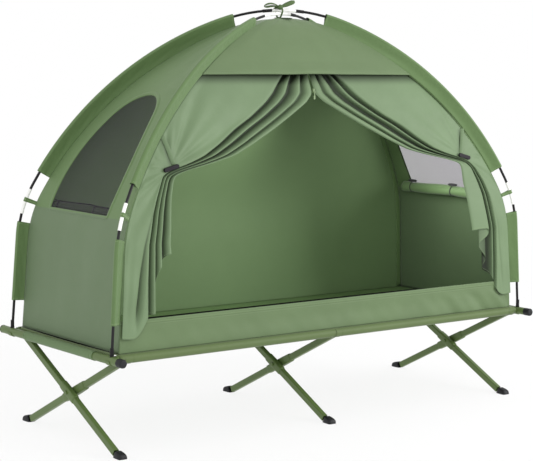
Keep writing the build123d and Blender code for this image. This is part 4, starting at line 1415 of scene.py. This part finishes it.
LEFT_FOLDS = tuple(FoldLine(*row) for row in (
    (0.00, 0.05, 0.00, 0.05, 0.459), (0.06, -0.75, 0.05, -0.70, 0.462),
    (0.15, -1.00, 0.12, -0.95, 0.465), (0.26, -0.05, 0.22, 0.00, 0.467),
    (0.33, -0.15, 0.29, -0.05, 0.468), (0.40, -0.85, 0.34, -0.75, 0.505),
    (0.49, -0.95, 0.39, -0.85, 0.580), (0.61, 0.00, 0.49, 0.00, 0.618),
    (0.68, -0.12, 0.57, -0.10, 0.622), (0.74, -0.70, 0.64, -0.80, 0.635),
    (0.79, -0.75, 0.74, -0.90, 0.650), (0.86, 0.00, 0.85, 0.00, 0.662),
    (0.95, 0.02, 0.94, 0.02, 0.664), (1.00, -0.35, 1.00, -0.30, 0.662),
))
RIGHT_FOLDS = tuple(FoldLine(*row) for row in (
    (0.00, 0.05, 0.00, 0.05, 0.424), (0.05, -0.70, 0.03, -0.70, 0.436),
    (0.12, -0.95, 0.06, -0.90, 0.450), (0.21, -0.05, 0.12, -0.10, 0.462),
    (0.26, -0.15, 0.16, -0.20, 0.470), (0.31, -0.70, 0.19, -0.95, 0.490),
    (0.36, -0.90, 0.55, -1.00, 0.506), (0.44, -0.90, 0.24, -0.72, 0.545),
    (0.50, -0.45, 0.80, -0.50, 0.600), (0.58, 0.00, 0.30, -0.26, 0.636),
    (0.66, -0.15, 0.29, -0.10, 0.655), (0.71, -0.70, 0.33, 0.00, 0.664),
    (0.75, -0.65, 0.50, 0.03, 0.665), (0.82, 0.00, 0.75, 0.03, 0.664),
    (0.94, 0.03, 0.94, 0.00, 0.662), (1.00, -0.30, 1.00, -0.20, 0.660),
))
UPPER_ZONE = (
    (1.262, 0.116, 0.004), (1.222, 0.162, 0.004), (1.189, 0.195, 0.004), (1.158, 0.235, 0.038),
    (1.110, 0.312, 0.126),
    (1.069, 0.392, 0.205), (1.019, 0.470, 0.310), (0.981, 0.540, 0.398), (0.959, 0.604, 0.490),
    (0.940, 0.677, 0.589), (0.930, 0.703, 0.634), (0.921, 0.718, 0.662),
)
LEFT_ZONE = (
    (0.900, 0.728, 0.676), (0.850, 0.752, 0.690), (0.800, 0.772, 0.697), (0.700, 0.796, 0.706),
    (0.580, 0.803, 0.700), (0.456, 0.806, 0.698), (0.390, 0.820, 0.700),
)
RIGHT_ZONE = (
    (0.900, 0.742, 0.668), (0.850, 0.775, 0.668), (0.800, 0.798, 0.676), (0.670, 0.829, 0.700),
    (0.560, 0.832, 0.705), (0.456, 0.832, 0.710), (0.390, 0.830, 0.712),
)


@dataclass
class Curtain:
    """One door curtain, drawn aside into folds and tied back to its corner.

    At each height the cloth runs flat from the corner seam to the gathered part, then through the
    fold lines to its free edge. The zone gives, for a height, where the gathered part starts and
    ends from the middle. The hem climbs from the flat panel to the free edge.
    """

    side: Side
    folds: tuple[FoldLine, ...]
    lower_zone: tuple[tuple[float, float, float], ...]
    seed: int
    panel_fold: float
    hem_rise: float
    ray_height: float
    top: float = 1.274
    toggle_height: float = 0.946
    toggle_gap: float = 0.097
    strap_rise: float = 0.106
    corner_gap: float = 0.0030
    inset: float = 0.010
    outset: float = 0.0115
    lowest: float = 0.390
    fold_depth: float = 0.024
    strap_gap: float = 0.003
    strap_inset: float = 0.014
    thickness: float = 0.0010

    def corner(self, height: Array) -> Array:
        """Corner seam from the middle, along X."""
        return DOME.seam(height) * DOME.along[0]

    @property
    def toggle_reach(self) -> float:
        """Toggle from the middle, along X."""
        return float(self.corner(np.array(self.toggle_height))) - self.toggle_gap

    @property
    def strap_reach(self) -> float:
        """Top of the tie-back strap from the middle, along X."""
        top = np.array(self.toggle_height + self.strap_rise)
        return float(self.corner(top)) - self.strap_gap

    @property
    def strap_foot(self) -> float:
        """Foot of the tie-back strap from the middle, along X."""
        return self.toggle_reach - self.strap_inset

    def zone(self, height: Array) -> tuple[Array, Array]:
        """Where the gathered part starts and ends at a height, smoothed between the levels."""
        levels = np.array(UPPER_ZONE + self.lower_zone)[::-1]
        fine = np.linspace(levels[0, 0], levels[-1, 0], 900)
        starts, ends = (smoothed(np.interp(fine, levels[:, 0], levels[:, k]), 6) for k in (1, 2))
        return np.interp(height, fine, starts), np.interp(height, fine, ends)

    def front(self, height: Array) -> Array:
        """Front line of the curtain: behind the wall at the top, outside the sill at the hem."""
        lowered = (self.top - height) / (self.top - self.lowest)
        drift = lowered * (self.inset + self.outset) - self.inset
        return -DOME.seam(height) * DOME.along[1] - drift

    def lines(self) -> Array:
        """The fold lines' five values on fine columns, rounded by averaging."""
        table = np.array([astuple(line) for line in self.folds])
        fine = np.linspace(0, len(table) - 1, (len(table) - 1) * 9 + 1)
        places = np.arange(len(table))
        return np.stack([smoothed(np.interp(fine, places, column), 3) for column in table.T])

    def surface(self) -> Grid:
        """Grid of the curtain: columns across the cloth, rows from the top to the hem."""
        above, above_depth, below, below_depth, fold_hem = self.lines()
        panel = np.linspace(0.0, 1.0, 44)[:-1]
        flat = np.zeros(len(panel))
        is_fold = np.concatenate([flat, np.ones(len(above))])[None, :] > 0.5
        across = np.concatenate([panel, np.ones(len(above))])[None, :]
        rounding = self.hem_rise * (np.clip((panel - 0.45) / 0.55, 0.0, 1.0) ** 2.2 - 1.0)
        panel_hem = self.folds[0].hem + rounding - 0.004 * np.sin(math.pi * panel)
        hem = np.concatenate([panel_hem, fold_hem])
        height = self.top + (hem - self.top)[None, :] * np.linspace(0.0, 1.0, 190)[:, None]
        start, end = self.zone(height)
        outer = self.corner(height) - self.corner_gap
        lowered = ramp(self.toggle_height - height, -0.02, 0.05)
        upper_place, upper_depth, lower_place, lower_depth = (
            np.concatenate([flat, part])[None, :]
            for part in (above, above_depth, below, below_depth))
        place = upper_place + (lower_place - upper_place) * lowered
        depth = upper_depth + (lower_depth - upper_depth) * lowered
        x = np.where(is_fold, start - place * (start - end), outer + (start - outer) * across)
        deep = np.clip(0.28 * (start - end), 0.007, self.fold_depth)
        lip = 0.05 * ramp(across, 0.8, 1.0)
        pulled = np.where(is_fold, 0.0, self.pull(x, height, across))
        y = self.front(height) - deep * np.where(is_fold, depth, lip) + pulled
        # Painted shade: darker in the fold valleys, beside the strap and in the fold below the
        # toggle, and the visor's painted shadow along the top.
        shadow = self.strap_shadow(x, height) + self.valley_shadow(height, across)
        shade = np.where(is_fold, np.clip((-depth - 0.15) / 0.8, 0.0, 1.0) ** 1.2, shadow)
        shade = np.clip(shade + 0.85 * ramp(height, 1.214, 1.256), 0.0, 1.0)
        points = spread(self.side.value * x, y, height)
        return Grid(points, shade=shade, hem=spread(height - hem, x))

    def strap_shadow(self, x: Array, height: Array) -> Array:
        """Darker cloth along the tie-back strap, on the side away from the light."""
        rise = height - self.toggle_height
        part = np.clip(rise / self.strap_rise, 0.0, 1.0)
        line = self.strap_foot + part * (self.strap_reach - self.strap_foot)
        away = -self.side.value * (x - line)
        inside = ramp(rise, 0.0, 0.02) * (1.0 - ramp(rise, 0.095, 0.11))
        return 0.6 * np.where(away > 0.0, hump(away, 0.004, 0.010), 0.0) * inside

    def valley(self, height: Array) -> Array:
        """Place across the flat cloth of the upright fold that hangs from the toggle."""
        return 0.92 - 0.40 * ramp(self.toggle_height - height, 0.10, 0.62)

    def valley_shadow(self, height: Array, across: Array) -> Array:
        """Darker cloth in the upright fold below the toggle, as deep as the fold is."""
        fall = ramp(self.toggle_height - height, 0.08, 0.26) * ramp(height, 0.420, 0.520)
        return 50.0 * self.panel_fold * fall * hump(across, self.valley(height), 0.045)

    def pull(self, x: Array, height: Array, across: Array) -> Array:
        """Shape of the flat cloth: ridges fanned out from the toggle, an upright fold below."""
        dx, dz = x - self.toggle_reach, height - self.toggle_height
        turn, far = np.arctan2(dz, dx), np.hypot(dx, dz)
        near = ramp(far, 0.02, 0.10) * (1.0 - ramp(far, 0.20, 0.46))
        rays = np.sin(11.0 * turn + self.seed) + 0.6 * np.sin(23.0 * turn + 2.0)
        fan = near * rays * self.ray_height
        fall = ramp(-dz, 0.16, 0.40) * ramp(height, 0.400, 0.500)
        fold = self.valley(height)
        ridge = 0.7 * hump(across, fold + 0.20, 0.13)
        valley = self.panel_fold * (hump(across, fold, 0.07) - ridge)
        ripple = 0.1 * self.panel_fold * np.sin(17.0 * across - 9.0 * height + self.seed)
        broad = 0.0018 * creases(x, height, self.seed, 0.20, 5)
        edges = ramp(across, 0.0, 0.14) * (1.0 - ramp(across, 0.90, 1.0))
        return edges * (fan + fall * (valley + ripple) + broad)

    def build(self, wardrobe: Wardrobe) -> None:
        """Make the curtain."""
        name = self.side.name.lower()
        curtain = mesh_piece(f"{name}_door_curtain", [self.surface()],
                             flip=self.side is Side.RIGHT)
        wardrobe.dress(curtain, "tent_cloth", "curtain_cloth")
        hang(curtain, "tent", f"{name}_curtain", self.thickness)


@dataclass
class CurtainStraps:
    """Narrow straps from the corner seams down to the toggles, alike on both sides."""

    curtain: Curtain
    width: float = 0.016
    foot_rise: float = 0.010
    clear: float = 0.0030
    roof: float = 0.0016

    def strap(self, side: Side) -> Grid:
        """Tape from the corner seam to the toggle, folded along its middle like a roof."""
        curtain, part = self.curtain, np.linspace(0.0, 1.0, 26)
        z = curtain.toggle_height + self.foot_rise + part * (curtain.strap_rise - self.foot_rise)
        x = curtain.strap_foot + part * (curtain.strap_reach - curtain.strap_foot)
        y = curtain.front(z) - self.clear - 0.003 * np.sin(math.pi * part)
        path = spread(side.value * x, y, z)
        across = unit(np.tile([0.93, -0.38, 0.1], (len(part), 1)))
        grid = ribbon(path, across, self.width, 7)
        grid.points[..., 1] -= self.roof * (1.0 - np.abs(np.linspace(-1.0, 1.0, 7)))[None, :]
        return grid

    def build(self, wardrobe: Wardrobe) -> None:
        """Make both straps."""
        straps = mesh_piece("tie_back_straps", [self.strap(side) for side in Side])
        wardrobe.dress(straps, "sleeve_cloth", "curtain_cloth")
        hang(straps, "tent", "curtain_straps", self.curtain.thickness)


@dataclass
class WindowFlaps:
    """Window nets, the flaps rolled up below them and the ties round the rolls."""

    shell: TentShell
    turns: float = 4.1
    roll_inner: float = 0.007
    roll_outer: float = 0.0215
    roll_height: float = 0.787
    roll_outset: float = 0.0005
    half_length: float = 0.224
    tie_places: tuple[float, float] = (0.172, -0.062)
    tie_width: float = 0.004
    tie_thickness: float = 0.0009
    peg_half: float = 0.023
    peg_radius: float = 0.0052
    peg_turns: tuple[float, float] = (15.0, 80.0)
    flap_thickness: float = 0.0010

    def net(self, side: Side, wardrobe: Wardrobe) -> None:
        """Make a window net: rows up the window, each as wide as the outline is there."""
        window, face, name = self.shell.window, Face[side.name], side.name.lower()
        right = window.outline(1200)[:600]
        order = np.argsort(right[:, 1])
        z = np.linspace(window.sill + 0.0006, window.top - 0.002, 60)
        half = np.interp(z, right[order, 1], right[order, 0] - window.shift) - 0.0006
        columns = np.linspace(-1.0, 1.0, 41)[None, :]
        y = window.shift + np.maximum(half, 0.004)[:, None] * columns
        length, across = DOME.on_end(y, z[:, None])
        offset = self.shell.slack(face, length, across) - 0.0007
        grid = Grid(DOME.face(face, length, across, offset))
        net = mesh_piece(f"{name}_window_net", [grid], flip=side is Side.LEFT)
        wardrobe.dress(net, "window_mesh")
        hang(net, "tent", f"{name}_window_mesh")

    def roll_place(self, side: Side) -> tuple[float, float]:
        """Middle of a roll, x and z: near its solid, snug against the wall."""
        low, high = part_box(f"{side.name.lower()}_window_roll")
        return (low.x + high.x) / 2 + side.value * self.roll_outset, self.roll_height

    def pinch(self, y: Array) -> Array:
        """Share of the full radius along a roll: drawn in under each tie."""
        return 1.0 - sum(0.10 * hump(y, place, 0.018) for place in self.tie_places)

    def roll(self, side: Side, wardrobe: Wardrobe) -> None:
        """Make a rolled flap: a spiral along Y, drawn in at the ties, with its turns staggered."""
        centre_x, centre_z = self.roll_place(side)
        turn = np.linspace(0.0, 2.0 * math.pi * self.turns, 150)[None, :]
        part = turn / turn[0, -1]
        y = np.linspace(-1.0, 1.0, 90)[:, None] * (self.half_length - 0.010 * (1.0 - part))
        ripple = 0.0010 * np.sin(3.0 * turn + 26.0 * y) * part
        ripple = ripple + 0.0008 * creases(y, turn * 0.02, 91, 0.09, 4)
        radius = self.roll_inner + (self.roll_outer - self.roll_inner) * part + ripple
        radius = radius * self.pinch(y)
        sag = 0.003 * np.cos(7.0 * y)
        angle = turn + 0.9
        x = centre_x - side.value * radius * np.cos(angle)
        z = centre_z + radius * np.sin(angle) + sag - 0.0015
        name = side.name.lower()
        roll = mesh_piece(f"{name}_rolled_flap", [Grid(spread(x, y, z))])
        # the roll wears the lighter copy of the wall cloth: painted light
        wardrobe.dress(roll, "tent_cloth", "lightened_wall_cloth")
        hang(roll, "tent", f"{name}_window_roll", self.flap_thickness)

    def tie(self, side: Side, place: float) -> list[Grid]:
        """One tie: a narrow band round the roll and a round-ended peg that lies on top of it."""
        centre_x, centre_z = self.roll_place(side)
        radius = self.roll_outer * 0.925 + 0.0012
        turn = full_turn(40)
        around = spread(np.cos(turn), np.zeros(1), np.sin(turn))
        middle = np.array([centre_x, place, centre_z + 0.0012])
        along = np.broadcast_to(np.array([0.0, 1.0, 0.0]), around.shape)
        band = ribbon(middle + radius * around, along, self.tie_width)
        band.wrap_rows = True
        peg_turn = math.radians(self.peg_turns[side is Side.RIGHT])
        lift = radius + self.peg_radius
        aside = -side.value * math.cos(peg_turn)
        seat = middle + lift * np.array([aside, 0.0, math.sin(peg_turn)])
        polar = np.linspace(0.04, math.pi - 0.04, 26)[:, None]
        girth = self.peg_radius * np.sin(polar) ** 0.35
        equator = full_turn(16)
        run = -self.peg_half * np.cos(polar)
        peg = seat + spread(girth * np.cos(equator), run, girth * np.sin(equator))
        return [band, Grid(peg, wrap_cols=True)]

    def build(self, wardrobe: Wardrobe) -> None:
        """Make nets, rolls and ties."""
        grids: list[Grid] = []
        for side in Side:
            self.net(side, wardrobe)
            self.roll(side, wardrobe)
            for place in self.tie_places:
                grids += self.tie(side, place)
        ties = mesh_piece("roll_ties", grids)
        wardrobe.dress(ties, "black_webbing")
        hang(ties, "tent", "window_roll_ties", self.tie_thickness)


@dataclass
class PoleSleeves:
    """Cloth sleeves and loops that hold the tent to its poles.

    A sleeve is one cloth folded round the pole: two layers run from the tent seam out along the
    diagonal plane and join in a loop. The half gap between the layers closes like a drop, from the
    loop's radius at the pole to nearly nothing at the seam.
    """

    upper_low: float = 0.900
    upper_ends: tuple[float, float] = (0.194, 0.168)
    lower_low: float = 0.445
    lower_high: float = 0.725
    loop_height: float = 0.803
    loop_width: float = 0.015
    upper_radius: float = 0.0100
    lower_radius: float = 0.0086
    loop_radius: float = 0.0069
    web_gap: float = 0.0009
    loop_gap: float = 0.0008
    thickness: float = 0.0009
    loop_thickness: float = 0.0010
    wave_height: float = 0.0007

    def fold(self, pole: Pole, end: float, first: float, last: float, radius: float, gap: float,
             seed: int) -> Grid:
        """One folded cloth along a pole.

        Args:
            pole: which pole.
            end: sign of X of this half.
            first: length along the pole where it starts.
            last: length where it ends.
            radius: radius of the loop round the pole.
            gap: half gap between the layers of the web.
            seed: start of the random draws of its creases.

        Returns:
            The grid, along the pole by round the fold.
        """
        count = max(8, int((last - first) / 0.007))
        length = clustered(first, last, count, [first, last], 0.012, 8)
        point, normal, sideways, lean = DOME.pole_frame(pole, end, length)
        over = pole.value[1]
        climb = DOME.rise * np.sin(lean) - 0.0008 * np.cos(lean) if over else 0.0 * lean
        seam = DOME.inset + climb - 0.0006
        web = np.linspace(1.0, 0.0, 18)
        ring = np.linspace(math.pi / 2, 3.0 * math.pi / 2, 17)[1:-1]
        layer = web[None, :] * seam[:, None]
        half = gap + (radius - gap) * (1.0 - ramp(layer, -0.010, 0.9 * DOME.inset))
        wave = creases(layer * 3.0, length[:, None], seed, 0.07, 4)
        half_a, half_b = half + self.wave_height * wave, half - self.wave_height * wave
        arc_in, arc_side = (np.broadcast_to(radius * part, (len(length), len(ring)))
                            for part in (np.cos(ring), np.sin(ring)))
        inward = np.concatenate([layer, arc_in, layer[:, ::-1]], axis=1)
        side = np.concatenate([half_a, arc_side, -half_b[:, ::-1]], axis=1)
        pucker = 0.0008 * np.sin(length * 250.0 + seed)[:, None]
        pucker = pucker * hump(inward, radius + 0.002, 0.004)
        side = side + np.sign(side) * pucker
        points = point[:, None] - inward[..., None] * normal[:, None]
        points = points + side[..., None] * sideways[:, None]
        edge = np.minimum(length - first, last - length)[:, None]
        return Grid(points, hem=spread(edge, inward))

    def lengths(self, pole: Pole, end: float) -> dict[str, tuple[float, float]]:
        """First and last length of each cloth along a pole half."""
        over = pole.value[1]
        steps = np.linspace(0.0, DOME.total(over), CURVE_STEPS)
        s, z, _ = DOME.at(steps, 0.0, over)
        heights = (self.upper_low, self.lower_low, self.lower_high, self.loop_height)
        upper_low, lower_low, lower_high, loop = (float(np.interp(height, z, steps))
                                                  for height in heights)
        upper_high = float(np.interp(-self.upper_ends[end > 0.0], -s, steps))
        return {
            "upper": (upper_low, upper_high),
            "lower": (lower_low, lower_high),
            "loop": (loop - self.loop_width / 2, loop + self.loop_width / 2),
        }

    def build(self, wardrobe: Wardrobe) -> None:
        """Make the sleeves of both poles and the loops."""
        loops: list[Grid] = []
        for number, pole in enumerate(Pole):
            halves = {end: self.lengths(pole, end) for end in (-1.0, 1.0)}
            name = pole.name.lower()
            for part, radius in (("upper", self.upper_radius), ("lower", self.lower_radius)):
                grids = [self.fold(pole, end, *spans[part], radius, self.web_gap,
                                   40 + number + int(end)) for end, spans in halves.items()]
                sleeve = mesh_piece(f"{name}_{part}_sleeve_cloth", grids)
                wardrobe.dress(sleeve, "sleeve_cloth")
                hang(sleeve, "tent", f"{name}_{part}_sleeves", self.thickness)
                total = sum(spans[part][1] - spans[part][0] for spans in halves.values())
                drop = DOME.inset + (DOME.rise if pole.value[1] and part == "upper" else 0.0)
                math.pi * radius + 2 * drop
            loops += [self.fold(pole, end, *spans["loop"], self.loop_radius, self.loop_gap,
                                60 + number) for end, spans in halves.items()]
        tapes = mesh_piece("pole_tape_loops", loops)
        wardrobe.dress(tapes, "sleeve_cloth")
        hang(tapes, "tent", "pole_loops", self.loop_thickness)


@dataclass(frozen=True)
class BowLoop:
    """One loop of the bow: which way it lies, how it climbs and arches, how its tape is turned."""

    way: tuple[float, float, float]
    climb: float
    arch: float
    opening: tuple[float, float, float]
    across: tuple[float, float, float]
    width: float
    length: float


BOW_LOOPS = (
    BowLoop((0.96, -0.28, 0.0), 0.40, 0.0, (0.0004, 0.0045, 0.0), (-0.36, 0.10, 0.92), 0.0155,
            0.056),
    BowLoop((-0.96, 0.28, 0.0), 0.02, 0.007, (0.0, 0.0, 0.0052), (0.25, 0.80, 0.54), 0.0115,
            0.064),
)


@dataclass
class CrownBow:
    """Tie at the crown: a patch on the tent, a string round both poles and a bow on top."""

    knot_x: float = -0.020
    tail_width: float = 0.009
    string_radius: float = 0.0027
    ring_half: float = 0.0165
    tail_length: float = 0.034
    patch_radius: float = 0.034
    patch_height: float = 0.0014
    knot_size: tuple[float, float, float] = (0.0098, 0.0090, 0.0088)
    thickness: float = 0.0011

    def patch(self, low: float) -> Grid:
        """Round patch: rings from the middle out, thinning to its edge."""
        radius = np.linspace(0.002, self.patch_radius, 12)[:, None]
        turn = full_turn(48)
        z = low + self.patch_height * (1.0 - ramp(radius, 0.028, self.patch_radius))
        return Grid(spread(radius * np.cos(turn), radius * np.sin(turn), z), wrap_cols=True)

    def ring(self, low: float, high: float) -> Grid:
        """String round the poles: a circle along a closed curve that narrows downward."""
        turn = full_turn(60)
        wide = self.ring_half * np.sign(np.cos(turn)) * np.abs(np.cos(turn)) ** 0.6
        z = (high - low) / 2 * np.sign(np.sin(turn)) * np.abs(np.sin(turn)) ** 0.6
        z = (low + high) / 2 + z
        wide = wide * (0.60 + 0.45 * ramp((z - low) / (high - low), 0.0, 0.7))
        way, side = np.array([0.20, -0.98, 0.0]), np.array([0.98, 0.20, 0.0])
        path = np.array([self.knot_x, 0.0, 0.0]) + wide[:, None] * way + z[:, None] * UP
        ahead = unit(np.roll(path, -1, axis=0) - np.roll(path, 1, axis=0))
        out = np.cross(side, ahead)
        around = full_turn(12)[None, :, None]
        circle = np.cos(around) * out[:, None, :] + np.sin(around) * side
        return Grid(path[:, None, :] + self.string_radius * circle, wrap_rows=True, wrap_cols=True)

    def loop(self, knot: Array, shape: BowLoop) -> Grid:
        """Bow loop: tape carried out from the knot and back along a drop, rounded at its end."""
        part = np.linspace(0.0, math.pi, 44)
        share = np.sin(part)
        out = shape.length * share
        up = shape.climb * out + shape.arch * np.sin(math.pi * share)
        path = knot + out[:, None] * np.array(shape.way) + up[:, None] * UP
        swing = np.sin(2.0 * part)[:, None]
        path = path + swing * np.array(shape.opening)
        across = unit(np.array(shape.across) + 0.2 * swing * np.array([1.0, 0.0, 0.0]))
        grid = ribbon(path, across, shape.width, 7)
        middle = grid.points.mean(axis=1, keepdims=True)
        pinch = (0.55 + 0.45 * ramp(share, 0.0, 0.45)) * (1.0 - 0.45 * ramp(share, 0.82, 1.0))
        grid.points = middle + (grid.points - middle) * pinch[:, None, None]
        return grid

    def tail(self, knot: Array, way: float) -> Grid:
        """Bow tail: out behind the knot, dropping with a wave."""
        part = np.linspace(0.0, 1.0, 26)
        up = 0.004 * np.sin(5.0 * part) - 0.008 * part**2
        flat = np.array([0.42 * way, 0.91, 0.0])
        path = knot + self.tail_length * part[:, None] * flat + up[:, None] * UP
        twist = 0.8 * np.sin(3.0 * part)[:, None] * UP
        across = unit(np.array([-flat[1], flat[0], 0.0]) + twist)
        return ribbon(path, across, self.tail_width, 6)

    def lump(self, knot: Array) -> Grid:
        """Knot: an egg with slanting furrows."""
        polar = np.linspace(0.06, math.pi - 0.06, 18)[:, None]
        equator = full_turn(32)
        girth = np.sin(polar)
        ball = spread(girth * np.cos(equator), girth * np.sin(equator), np.cos(polar))
        furrow = 1.0 + 0.07 * np.sin(5.0 * equator + 5.0 * polar)
        return Grid(knot + ball * furrow[..., None] * np.array(self.knot_size), wrap_cols=True)

    def build(self, wardrobe: Wardrobe) -> None:
        """Make the tie as one piece on the tent."""
        ring_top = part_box("over_pole_ferrules")[1].z + 0.0022
        knot = np.array([self.knot_x, -0.008, ring_top + 0.0028])
        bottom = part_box("crown_tie")[0].z + DOME.crown_lift
        grids = [self.patch(bottom), self.ring(bottom + 0.0012, ring_top), self.lump(knot)]
        grids += [self.loop(knot, shape) for shape in BOW_LOOPS]
        grids += [self.tail(knot, way) for way in (1.0, -1.0)]
        bow = mesh_piece("crown_bow", grids)
        wardrobe.dress(bow, "sleeve_cloth", "tie_tape")
        hang(bow, "tent", "crown_tie", self.thickness)


@dataclass(frozen=True)
class Lamp:
    """Oblong soft light: where it hangs, what it looks at, its width and height, and its watts."""

    name: str
    place: tuple[float, float, float]
    aim: tuple[float, float, float]
    size: tuple[float, float]
    power: float

    def build(self) -> None:
        """Hang the light, hidden from the camera."""
        data = bpy.data.lights.new(self.name, "AREA")
        data.shape = "RECTANGLE"
        data.size, data.size_y = self.size
        data.energy = self.power
        lamp = bpy.data.objects.new(self.name, data)
        turn = (Vector(self.aim) - Vector(self.place)).to_track_quat("-Z", "Y")
        lamp.matrix_world = Matrix.Translation(Vector(self.place)) @ turn.to_matrix().to_4x4()
        lamp.visible_camera = False
        bpy.context.scene.collection.objects.link(lamp)


LAMPS = (
    Lamp("key", (3.4, -3.9, 2.3), (0.0, 0.0, 0.7), (2.6, 2.2), 174.0),
    Lamp("fill", (-4.2, -3.4, 1.6), (0.3, 0.0, 0.7), (2.4, 2.0), 31.0),
    Lamp("cloth_glow", (-0.03, 0.02, 1.13), (-0.42, 0.34, 0.72), (0.3, 0.16), 1.2),
    Lamp("side_glow", (0.56, -0.10, 0.90), (0.93, -0.32, 0.68), (0.16, 0.16), 1.35),
)


@dataclass
class Studio:
    """Camera, soft light and a pale floor."""

    target: tuple[float, float, float] = (-0.0629, 0.0, 0.6746)
    distance: float = 6.03818
    azimuth: float = -38.0348
    elevation: float = 6.4202
    roll: float = 0.8546
    focal_pixels: float = 1622.93
    frame_width: int = 533
    floor_size: float = 14.0
    floor_clear: float = 1.6
    floor_fade: float = 4.5
    floor_cover: float = 0.16
    floor_drop: float = 0.0004
    sensor_width: float = 36.0

    def camera(self) -> None:
        """Stand the camera on a sphere round the target and roll it about its view."""
        a, e, r = (math.radians(turn) for turn in (self.azimuth, self.elevation, self.roll))
        back = Vector((math.sin(a) * math.cos(e), -math.cos(a) * math.cos(e), math.sin(e)))
        right = Vector((math.cos(a), math.sin(a), 0.0))
        up = back.cross(right)
        right, up = (math.cos(r) * right + math.sin(r) * up,
                     math.cos(r) * up - math.sin(r) * right)
        data = bpy.data.cameras.new("photo_camera")
        data.sensor_fit = "HORIZONTAL"
        data.sensor_width = self.sensor_width
        data.lens = self.sensor_width * self.focal_pixels / self.frame_width
        camera = bpy.data.objects.new("photo_camera", data)
        turn = Matrix((right, up, back)).transposed().to_4x4()
        camera.matrix_world = Matrix.Translation(Vector(self.target) + self.distance * back) @ turn
        bpy.context.scene.collection.objects.link(camera)
        bpy.context.scene.camera = camera

    def floor(self) -> None:
        """Pale floor: a grid that stays level."""
        half = self.floor_size / 2
        steps = np.linspace(-half, half, 9)
        x, y = np.meshgrid(steps, steps)
        floor = mesh_piece("studio_floor", [Grid(spread(x, y, np.array(-self.floor_drop)))])
        graph = Graph("pale_floor")
        place = graph.place()
        cloud = graph.noise(place, 0.8)
        far = graph.signal("ShaderNodeVectorMath", "Value", {"operation": "LENGTH"}, {0: place})
        floor.data.materials.append(graph.finish({
            "Base Color": graph.mix(cloud * 0.2, (0.90, 0.90, 0.90, 1.0), (0.87, 0.87, 0.87, 1.0)),
            "Alpha": self.floor_cover * (1.0 - graph.step(far, self.floor_clear, self.floor_fade)),
            "Roughness": 0.9,
            "Specular IOR Level": 0.1,
        }))

    def build(self) -> None:
        """Set the camera, the lights and the floor."""
        scene = bpy.context.scene
        self.camera()
        self.floor()
        world = bpy.data.worlds.new("studio")
        world.use_nodes = True
        background = world.node_tree.nodes["Background"].inputs
        background["Color"].default_value = (1.0, 1.0, 1.0, 1.0)
        background["Strength"].default_value = 1.0
        scene.world = world
        scene.view_settings.view_transform = "Standard"
        for lamp in LAMPS:
            lamp.build()


def main() -> None:
    """Build the cot's cloth, the tent and the studio in order."""
    logging.basicConfig(level=logging.INFO, format="%(message)s")
    wardrobe = Wardrobe()
    wardrobe.dress_frame()
    BedSheet().build(wardrobe)
    LegFittings().build(wardrobe)
    shell = TentShell()
    shell.build(wardrobe)
    left = Curtain(Side.LEFT, LEFT_FOLDS, LEFT_ZONE, 3, 0.012, 0.062, 0.0032)
    right = Curtain(Side.RIGHT, RIGHT_FOLDS, RIGHT_ZONE, 8, 0.002, 0.020, 0.0014)
    for curtain in (left, right):
        curtain.build(wardrobe)
    CurtainStraps(left).build(wardrobe)
    WindowFlaps(shell).build(wardrobe)
    PoleSleeves().build(wardrobe)
    CrownBow().build(wardrobe)
    Studio().build()


if __name__ == "__main__":
    main()
